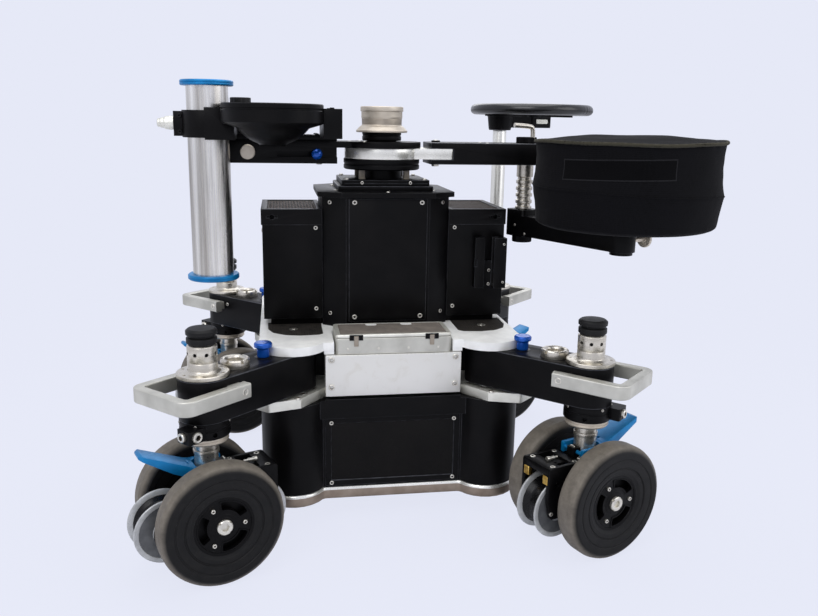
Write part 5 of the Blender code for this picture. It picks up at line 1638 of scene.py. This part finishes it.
addSet("bowl_turnstile", (
    ("holder_bracket", makeHolder(), anodised, "black_anodised", "bowl_holder"),
    ("holder_bowl", makeBowl(), "black", "black_anodised"),
    ("holder_knob", makeStarKnob(), "rubber", "black_anodised"),
    ("holder_screws", holderScrews(), "nylon", "black_anodised")))
addSet("clamp_screw", [("clamp_cone", makeClampCone(), "satin", "knob_satin", "clamp_knob")],
       columnFrame @ inMetres(-390.3, -90, 740))
addSet("riser", (
    ("riser_steel", makeRiserTube(), "brushed", "tube_steel", "riser_tube"),
    ("riser_end_rings", makeRiserRings(), "blue", "tube_steel")),
    columnFrame @ inMetres(bowlSizes["tubeX"], bowlSizes["tubeY"]))
print("stage: bowl holder and riser placed")


# Seat: grooved post, swinging arm, lever and the round padded cushion

seatSizes = {"postRadius": 17.0, "grooveTop": 641.0, "groovePitch": 13.5, "grooveDepth": 3.0, "armLow": 522.0,
             "armHigh": 563.2, "armHalf": 25.0, "blockTop": 575.0, "thumbLevel": 541.0}
postAt = columnFrame @ inMetres(layout["seatPostX"], 0)
seatArmAt = postAt @ turn(layout["seatArmAngle"])
cushionAt = seatArmAt @ inMetres(layout["seatArmReach"], 0)


def makeSeatPost():
    s = seatSizes
    r, deep = s["postRadius"], s["postRadius"] - s["grooveDepth"]
    profile = [(0, 721), (r - 1.2, 721), (r, 719.8), (r, s["grooveTop"] + 4)]
    for k in range(5):
        z = s["grooveTop"] - k * s["groovePitch"]
        profile += [(r, z + 0.6, 0.8), (deep, z - 1.0, 0.8), (deep, z - 5.0, 0.8), (r, z - 6.6, 0.8)]
    profile += [(r, 576.2), (r - 0.9, 575.4), (12, 575.4), (12, 518.4), (0, 518.4)]
    return spun(profile, 56, 0, 3)


def makePostFoot():
    return gathered([makeKnurled(5.0, 20.5, 506.4, 519.6, 48), rod(12, 507.4, 519.0)])


def makeSeatArm():
    s = seatSizes
    reach = layout["seatArmReach"]
    half = s["armHalf"]
    arm = slab(stadium(half, reach, 28), s["armLow"], s["armHigh"])
    block = slab(roundRect(-half, -half, half + 2, half, 7, 4), s["armLow"] - 2, s["blockTop"])
    joined(arm, block, slab(circle(21, 48, reach, 0), s["armLow"] - 6, s["armLow"] + 2))
    cut(arm, slab(circle(12.4, 32), 400, 700), slab(circle(10.4, 32, reach, 0), 536, 700),
        box((-40, -1.2, s["armLow"] + 8), (-12, 1.2, s["blockTop"] - 14)))
    return softened(arm, 1.4, 2, 40)


def seatArmScrews():
    half = seatSizes["armHalf"]
    return screwSet([((4, -half, 543), (0, -1, 0), 2.6, 1.4), ((34, -half, 527.5), (0, -1, 0), 2.6, 1.4),
                     ((4, half, 543), (0, 1, 0), 2.6, 1.4), ((-half, 9, 536), (-1, 0, 0), 3.4, 2.4),
                     ((-half, 9, 560), (-1, 0, 0), 3.4, 2.4)])


def makeThumbScrew():
    s = seatSizes
    screw = spun([(0, 0), (4.4, 0), (4.4, 33.0), (7.0, 33.4), (7.0, 36.0), (15.0, 36.8, 0.6), (16.2, 38.0, 0.6),
                  (16.2, 41.6, 0.6), (15.0, 42.6), (0, 42.0)], 44, 0.2)
    return placed(screw, shift(layout["seatArmReach"], s["armHalf"] - 1, s["thumbLevel"]) @ turn(-pi / 2, "X"))


def makeLever():
    # The clamp's bent lever, standing beside the post on its knurled collar
    bends = [(9, -13, 716), (9, -13, 727), (8, -14, 741), (0, -16, 743.5), (-17, -19, 744.5), (-33, -22, 745.5)]
    return placed(pipe(bends, 4.8, 16, 6), shift(layout["seatPostX"], 0, 0))


addSet("post", (
    ("seat_post_bar", makeSeatPost(), "turned", "post_chrome", "seat_post"),
    ("seat_post_foot", makePostFoot(), "black", "post_chrome")), postAt)
addSet("swing_arm", (
    ("seat_arm_beam", makeSeatArm(), anodised, "black_anodised", "seat_arm"),
    ("seat_arm_screws", seatArmScrews(), screwed, "black_anodised"),
    ("seat_thumb_screw", makeThumbScrew(), "champagne", "black_anodised")), seatArmAt)
addSet("seat_turnstile", [("seat_lever", makeLever(), "turned", "black_anodised")])
print("stage: seat post and arm placed")


# Cushion: a stretch cover over foam, drawn in between its hem, its seam and its piping

cushionSizes = {"radius": 170.0, "low": 566.5, "high": 735.5, "crownLift": 5.0, "voxel": 5.0, "pressure": 3.0,
                "tightness": 0.04, "mostMove": 7.0, "seamShare": 0.416, "pipeShare": 0.905, "seamTilt": 5.5,
                "pipingRise": 4.0, "rightSide": radians(64), "labelFrom": radians(-89), "labelTo": radians(-22),
                "labelLow": 661.0, "labelHigh": 691.5}
# Height share, radius share: hem, lower panel, ridge at the seam, upper panel, piping, crown
drumProfile = [(0.0, 0.0), (0.0, 0.30), (0.0, 0.58), (0.008, 0.84), (0.035, 0.92), (0.085, 0.958), (0.2, 0.974),
               (0.335, 0.978), (0.385, 0.986), (0.416, 0.996), (0.436, 0.982), (0.5, 0.962), (0.66, 0.951),
               (0.80, 0.954), (0.868, 0.968), (0.90, 0.978), (0.925, 0.962), (0.945, 0.912), (0.962, 0.81),
               (0.976, 0.64), (0.986, 0.42), (0.990, 0.20), (0.991, 0.0)]


def levelOf(share):
    s = cushionSizes
    return s["low"] + share * (s["high"] - s["low"])


def seamLevel(angle):
    # The seam climbs to the left and sinks to the right, as the cover has been pulled on
    s = cushionSizes
    return levelOf(s["seamShare"]) - s["seamTilt"] * cos(angle - s["rightSide"]) + 0.7 * sin(5 * angle + 1.0)


def pipingLevel(angle):
    s = cushionSizes
    lift = max(0.0, cos(angle - s["rightSide"])) ** 2 * s["pipingRise"]
    return levelOf(s["pipeShare"]) + lift + 0.8 * sin(3 * angle + 0.4) + 0.5 * sin(7 * angle + 2.0)


def drumPoint(share, width, angle):
    # Levels between the hem, the seam and the piping stretch with those lines
    s = cushionSizes
    seamShare, pipeShare = s["seamShare"], s["pipeShare"]
    seamLift = seamLevel(angle) - levelOf(seamShare)
    pipeLift = pipingLevel(angle) - levelOf(pipeShare)
    if share < seamShare:
        lift = seamLift * max(0.0, (share - 0.08) / (seamShare - 0.08))
    elif share < pipeShare:
        lift = seamLift + (pipeLift - seamLift) * (share - seamShare) / (pipeShare - seamShare)
    else:
        lift = pipeLift * max(0.0, (1.0 - share) / (1.0 - pipeShare))
    gather = 0.0
    if 0.01 < share < 0.11:
        # Gathers of the hem where its cord draws it in
        gather = 1.1 * sin(46 * angle + 3.0 * sin(3 * angle)) * (1 - abs(share - 0.055) / 0.055)
    r = s["radius"] * width + gather
    if share > 0.93:
        lift += 1.6 * sin(2 * angle + 0.7) * (1.0 - width) * 2 * width
    return Vector((r * cos(angle), r * sin(angle), levelOf(share) + lift))


def makeDrum():
    steps = 180
    bm = bmesh.new()
    rows = []
    for share, width in drumProfile:
        count = steps if width else 1
        rows.append([bm.verts.new(drumPoint(share, width, 2 * pi * k / steps)) for k in range(count)])
    for low, high in zip(rows, rows[1:]):
        for k in range(steps):
            j = (k + 1) % steps
            ring = [low[k % len(low)], low[j % len(low)], high[j % len(high)], high[k % len(high)]]
            bm.faces.new(list(dict.fromkeys(ring)))
    return working(bm)


def stretchCover(shape):
    # Cloth that shrinks a little between its held lines while the foam presses out
    s = cushionSizes
    bpy.context.view_layer.objects.active = shape
    shape.data.remesh_voxel_size = s["voxel"]
    remesh = shape.modifiers.new("remesh", "REMESH")
    remesh.mode = "VOXEL"
    remesh.voxel_size = s["voxel"]
    settle(shape)
    start = [v.co.copy() for v in shape.data.vertices]
    held = shape.vertex_groups.new(name="held")
    for v in shape.data.vertices:
        angle = atan2(v.co.y, v.co.x)
        out = sqrt(v.co.x ** 2 + v.co.y ** 2) > 0.8 * s["radius"]
        near = min(abs(v.co.z - seamLevel(angle)), abs(v.co.z - pipingLevel(angle))) if out else 99.0
        if near < 3.5 or v.co.z < levelOf(0.07):
            held.add([v.index], 1.0, "REPLACE")
    # Solved in metres, as the solver expects
    shape.data.transform(Matrix.Scale(0.001, 4))
    cover = shape.modifiers.new("cover", "CLOTH")
    cloth = cover.settings
    cloth.quality = 6
    cloth.mass = 0.3
    cloth.tension_stiffness = 20
    cloth.compression_stiffness = 20
    cloth.shear_stiffness = 8
    cloth.bending_stiffness = 0.6
    cloth.use_pressure = True
    cloth.uniform_pressure_force = s["pressure"]
    cloth.shrink_min = s["tightness"]
    cloth.vertex_group_mass = "held"
    cloth.pin_stiffness = 1.0
    cloth.effector_weights.gravity = 0.0
    cover.collision_settings.use_collision = False
    cover.point_cache.frame_start = 1
    cover.point_cache.frame_end = 20
    for number in range(1, 21):
        scene.frame_set(number)
    graph = bpy.context.evaluated_depsgraph_get()
    done = bpy.data.meshes.new_from_object(shape.evaluated_get(graph))
    shape.modifiers.remove(cover)
    scene.frame_set(1)
    shape.data.transform(Matrix.Scale(1000, 4))
    for k, v in enumerate(shape.data.vertices):
        move = done.vertices[k].co * 1000 - start[k]
        if move.length > s["mostMove"]:
            move *= s["mostMove"] / move.length
        v.co = start[k] + move
    bpy.data.meshes.remove(done)
    return shape


def wrinkled(shape):
    # Small pulls and folds of the knit, longest just above the seam and beside the label
    s = cushionSizes
    for v in shape.data.vertices:
        spread = sqrt(v.co.x ** 2 + v.co.y ** 2)
        if spread < 1:
            continue
        angle = atan2(v.co.y, v.co.x)
        outward = Vector((v.co.x / spread, v.co.y / spread, 0))
        around = Vector((cos(angle) * 2.4, sin(angle) * 2.4, v.co.z / 26))
        fold = noise.noise(around + Vector((3.0, 7.0, v.co.z / 90)))
        fine = noise.noise(Vector((v.co.x / 17, v.co.y / 17, v.co.z / 9)))
        side = min(1.0, max(0.0, (s["high"] - 12 - v.co.z) / 20)) if spread > 0.85 * s["radius"] else 0.25
        v.co += outward * (fold * 1.3 + fine * 0.35) * side
        if spread <= 0.9 * s["radius"] and v.co.z > s["high"] - 30:
            v.co.z += noise.noise(Vector((v.co.x / 60, v.co.y / 60, 4.0))) * 1.6
            v.co.z += s["crownLift"] * (1.0 - (spread / (0.9 * s["radius"])) ** 4)
    return shape


def makeCushion():
    shape = wrinkled(stretchCover(makeDrum()))
    smooth = shape.modifiers.new("smooth", "SUBSURF")
    smooth.levels = 1
    return settle(shape)


def surfaceAt(tree, angle, level):
    # Where a level line from the axis meets the cover
    out = Vector((cos(angle), sin(angle), 0))
    hit = tree.ray_cast(out * 400 + Vector((0, 0, level)), -out)
    return 400 - hit[3] if hit[0] else cushionSizes["radius"]


def makePiping(tree):
    steps = 200
    section = [(3.3 * cos(2 * pi * k / 10), 3.0 * sin(2 * pi * k / 10)) for k in range(10)]
    verts = []
    for k in range(steps):
        a = 2 * pi * k / steps
        level = pipingLevel(a)
        radius = min(surfaceAt(tree, a, level) + 1.4, cushionSizes["radius"] + 0.6)
        twist = 0.35 * sin(64 * a)
        for out, up in section:
            r = radius + out
            verts.append((r * cos(a), r * sin(a), level + up + twist * (1 if out > 0 else -1)))
    return fromLists(verts, tubeFaces(steps, len(section)))


def makeSeam(tree):
    # The lower panel's folded edge, standing a hair proud under the ridge
    steps = 160
    section = [(-1.5, 1.0), (0.9, 0.9), (1.2, 0.0), (0.7, -1.1), (-1.5, -1.6)]
    verts = []
    for k in range(steps):
        a = 2 * pi * k / steps
        level = seamLevel(a) - 1.2
        radius = surfaceAt(tree, a, level)
        verts += [((radius + out) * cos(a), (radius + out) * sin(a), level + up) for out, up in section]
    return fromLists(verts, tubeFaces(steps, len(section)))


def makeLabel(tree, grow, proud):
    # A bare sewn patch that follows the cover, so much larger on each side than the plain one
    s = cushionSizes
    steps, rows = 48, 6
    width = steps + 1
    low, high = s["labelLow"] - grow, s["labelHigh"] + grow
    first, last = s["labelFrom"] - grow / s["radius"], s["labelTo"] + grow / s["radius"]
    verts, faces = [], []
    for side in (proud, proud - 1.6):
        for row in range(rows + 1):
            for k in range(width):
                a = first + (last - first) * k / steps
                level = low + (high - low) * row / rows + 5.0 * k / steps - 1.0
                radius = surfaceAt(tree, a, level) + side
                verts.append((radius * cos(a), radius * sin(a), level))
    block = (rows + 1) * width
    for row in range(rows):
        for k in range(steps):
            a = row * width + k
            b, c, d = a + 1, a + width + 1, a + width
            faces += [(a, b, c, d), (block + d, block + c, block + b, block + a)]
    ring = [*range(width), *(row * width + steps for row in range(1, rows + 1)),
            *(rows * width + k for k in range(steps - 1, -1, -1)), *(row * width for row in range(rows - 1, 0, -1))]
    faces += [(b, a, block + a, block + b) for a, b in zip(ring, ring[1:] + ring[:1])]
    return fromLists(verts, faces)


def treeOf(shape):
    bm = bmesh.new()
    bm.from_mesh(shape.data)
    found = BVHTree.FromBMesh(bm)
    bm.free()
    return found


cover = makeCushion()
coverTree = treeOf(cover)
sewnOn = (("seat_piping", makePiping(coverTree), "piping", 80), ("seat_seam", makeSeam(coverTree), "fabric", 50),
          ("seat_label", makeLabel(coverTree, 0, 0.9), "patch", 32),
          ("seat_label_border", makeLabel(coverTree, 2.2, 0.5), "patchEdge", 32))
cushionPiece = addPiece("seat_cover", finished(cover, "fabric", 80), "cushion", "cushion_fabric", ["seat_cushion"],
                        cushionAt)
for name, shape, finish, angle in sewnOn:
    addPiece(name, finished(shape, finish, angle), "cushion", "cushion_fabric", (), cushionAt)
print("stage: cushion sewn and placed")


# Steering wheel: thick glossy rim with finger ribs, on the rear right truck's tube

steeringSizes = {"offset": 96.0, "level": 781.0, "major": 138.0, "minor": 13.5, "ribFrom": -1.35, "ribTo": 1.35,
                 "ribs": 26, "ribDepth": 1.6}


def makeRim():
    s = steeringSizes
    steps, around = 288, 20
    verts = []
    for k in range(steps):
        a = 2 * pi * k / steps
        bent = (a + pi) % (2 * pi) - pi
        inside = min(1.0, max(0.0, (bent - s["ribFrom"]) / 0.15), max(0.0, (s["ribTo"] - bent) / 0.15))
        phase = (bent - s["ribFrom"]) / (s["ribTo"] - s["ribFrom"]) * s["ribs"] * 2 * pi
        for m in range(around):
            b = 2 * pi * m / around
            # Ribs are felt on the outer and lower side of the grip
            facing = max(0.0, cos(b + 0.6))
            minor = s["minor"] - s["ribDepth"] * inside * facing * (0.5 - 0.5 * cos(phase)) ** 2
            minor *= 1.0 - 0.10 * max(0.0, -sin(b)) ** 2
            r = s["major"] + minor * cos(b)
            verts.append((r * cos(a), r * sin(a), s["level"] + minor * sin(b)))
    return placed(fromLists(verts, tubeFaces(steps, around)), shift(s["offset"], 0, 0))


def makeSteeringHub():
    s = steeringSizes
    hub = spun([(0, 785), (22, 785, 2), (26, 779, 3), (31.5, 768, 3), (31.5, 764, 1), (30.6, 763, 1), (27.5, 736, 2),
                (26.0, 731.6, 1), (17.4, 731.6), (0, 731.6)], 56, 0, 3)
    spoke = slab(roundRect(10, -15, 150, 15, 6, 4), 738, 765)
    block = slab(roundRect(84, -19, 148, 19, 8, 4), 741, 764.5)
    cradle = slab(roundRect(-40, -12, 226, 12, 6, 4), 765, 777)
    webs = slab(roundRect(84, -128, 108, 128, 6, 4), 774.2, 783)
    joined(hub, spoke, block, cradle, webs, slab(circle(24, 40, s["offset"], 0), 764, 784))
    cut(hub, slab(circle(17.3, 48), 700, 745), box((97, -30, 746.5), (141, -17.6, 760.5)))
    return softened(hub, 1.6, 2, 40)


def makeSteeringInsert():
    # A bright D-shaped plate let into the near side of the spoke's block
    plate = fillet([(-20, -5.5, 4), (17, -5.5, 5.4), (17, 5.5, 5.4), (-20, 5.5, 1)], 0, 5)
    insert = softened(slab(plate, 0, 1.6), 0.4, 1, 40, bright=False)
    screw = screwSet([((118, -18.4, 753), (0, -1, 0), 2.4, 1.0)])
    return gathered([placed(insert, shift(119, -17.0, 753.5) @ turn(pi / 2, "X")), screw])


steerAt = columnFrame @ inMetres(layout["kingpinHalf"], layout["kingpinHalf"]) @ turn(layout["crabAngle"])
addPiece("steering_rim", finished(makeRim(), "rim", 60), "truck_rr", "steering_black", ["steering_wheel"], steerAt)
addSet("truck_rr", (
    ("steering_hub", makeSteeringHub(), anodised, "steering_black"),
    ("steering_insert", makeSteeringInsert(), "satin", "steering_black")), steerAt)
print("stage: steering wheel placed")


# Camera: placed by matching some forty points of the photograph

cameraSizes = {"place": (-0.2676, -1.6716, 0.7518), "yaw": -0.1621, "pitch": 0.2283, "roll": 0.0173,
               "lens": 35.584, "sensor": 36.0}


def addCamera():
    s = cameraSizes
    ahead = Vector((-sin(s["yaw"]) * cos(s["pitch"]), cos(s["yaw"]) * cos(s["pitch"]), -sin(s["pitch"])))
    level = Vector((cos(s["yaw"]), sin(s["yaw"]), 0))
    upright = level.cross(ahead)
    right = level * cos(s["roll"]) + upright * sin(s["roll"])
    up = upright * cos(s["roll"]) - level * sin(s["roll"])
    data = bpy.data.cameras.new("camera")
    data.lens = s["lens"]
    data.sensor_width = s["sensor"]
    data.sensor_fit = "HORIZONTAL"
    data.clip_end = 60
    data.dof.use_dof = False
    camera = bpy.data.objects.new("camera", data)
    scene.collection.objects.link(camera)
    camera.matrix_world = Matrix(((right.x, up.x, -ahead.x, s["place"][0]), (right.y, up.y, -ahead.y, s["place"][1]),
                                  (right.z, up.z, -ahead.z, s["place"][2]), (0, 0, 0, 1)))
    scene.camera = camera


addCamera()


# Studio: a pale floor that keeps a faint shadow, and large soft lamps

studio = {"backdrop": "e6e9f7", "ambient": 0.6, "ambientColour": "f4f2ee", "floorHold": 0.93,
          "fadeFrom": 0.9, "fadeTo": 2.0, "floorHalf": 30.0,
          "lamps": (("key", (-1.6, -2.6, 3.0), 2.4, 62.0), ("fill", (2.8, -1.6, 1.9), 2.2, 26.0),
                    ("top", (0.1, 0.3, 3.4), 2.6, 46.0), ("rear", (0.6, 3.0, 2.4), 2.2, 22.0))}


def addStudio():
    s = studio
    half = s["floorHalf"]
    mesh = bpy.data.meshes.new("floor")
    mesh.from_pydata([(-half, -half, 0), (half, -half, 0), (half, half, 0), (-half, half, 0)], [], [(0, 1, 2, 3)])
    floor = bpy.data.objects.new("floor", mesh)
    scene.collection.objects.link(floor)
    paper, tree, shader, place = startFinish("backdrop_paper", Roughness=0.95)
    shader.inputs["Base Color"].default_value = linear(s["backdrop"])
    feed(tree, shader, addNoise(tree, place, 2.0), 0.05, 0.1)
    glow = addNode(tree, "Emission", {"Color": linear(s["backdrop"]), "Strength": 1.0})
    path = addNode(tree, "LightPath")
    away = addNode(tree, "VectorMath", {"operation": "LENGTH"}, {0: place})
    # The shadow is kept near the object, and the paper fades to the backdrop's own tone further out
    fade = {"From Min": s["fadeFrom"], "From Max": s["fadeTo"], "To Min": s["floorHold"], "To Max": 1.0}
    hold = addNode(tree, "MapRange", fade, {"Value": away.outputs["Value"]})
    seen = addMath(tree, "MULTIPLY", path.outputs["Is Camera Ray"], hold)
    mix = addNode(tree, "MixShader", links={0: seen, 1: shader, 2: glow})
    tree.links.new(mix.outputs[0], tree.nodes["Material Output"].inputs["Surface"])
    mesh.materials.append(paper)

    world = bpy.data.worlds.new("studio")
    scene.world = world
    world.use_nodes = True
    tree = world.node_tree
    background = tree.nodes["Background"]
    path = addNode(tree, "LightPath")
    eyes = addMath(tree, "MAXIMUM", path.outputs["Is Camera Ray"], path.outputs["Is Glossy Ray"])
    clear = addMath(tree, "MAXIMUM", eyes, path.outputs["Is Transmission Ray"])
    tone = addMix(tree, clear, linear(s["ambientColour"]), linear(s["backdrop"]))
    tree.links.new(tone, background.inputs["Color"])
    level = addNode(tree, "MapRange", {"To Min": s["ambient"], "To Max": 1.0}, {"Value": clear})
    tree.links.new(level.outputs[0], background.inputs["Strength"])

    for name, at, size, power in s["lamps"]:
        data = bpy.data.lights.new(name, "AREA")
        data.size = size
        data.energy = power
        lamp = bpy.data.objects.new(name, data)
        scene.collection.objects.link(lamp)
        lamp.location = at
        lamp.rotation_euler = (Vector((0, 0, 0.35)) - Vector(at)).to_track_quat("-Z", "Y").to_euler()


addStudio()
bpy.data.collections.remove(workshop)
print("stage: camera and studio placed")
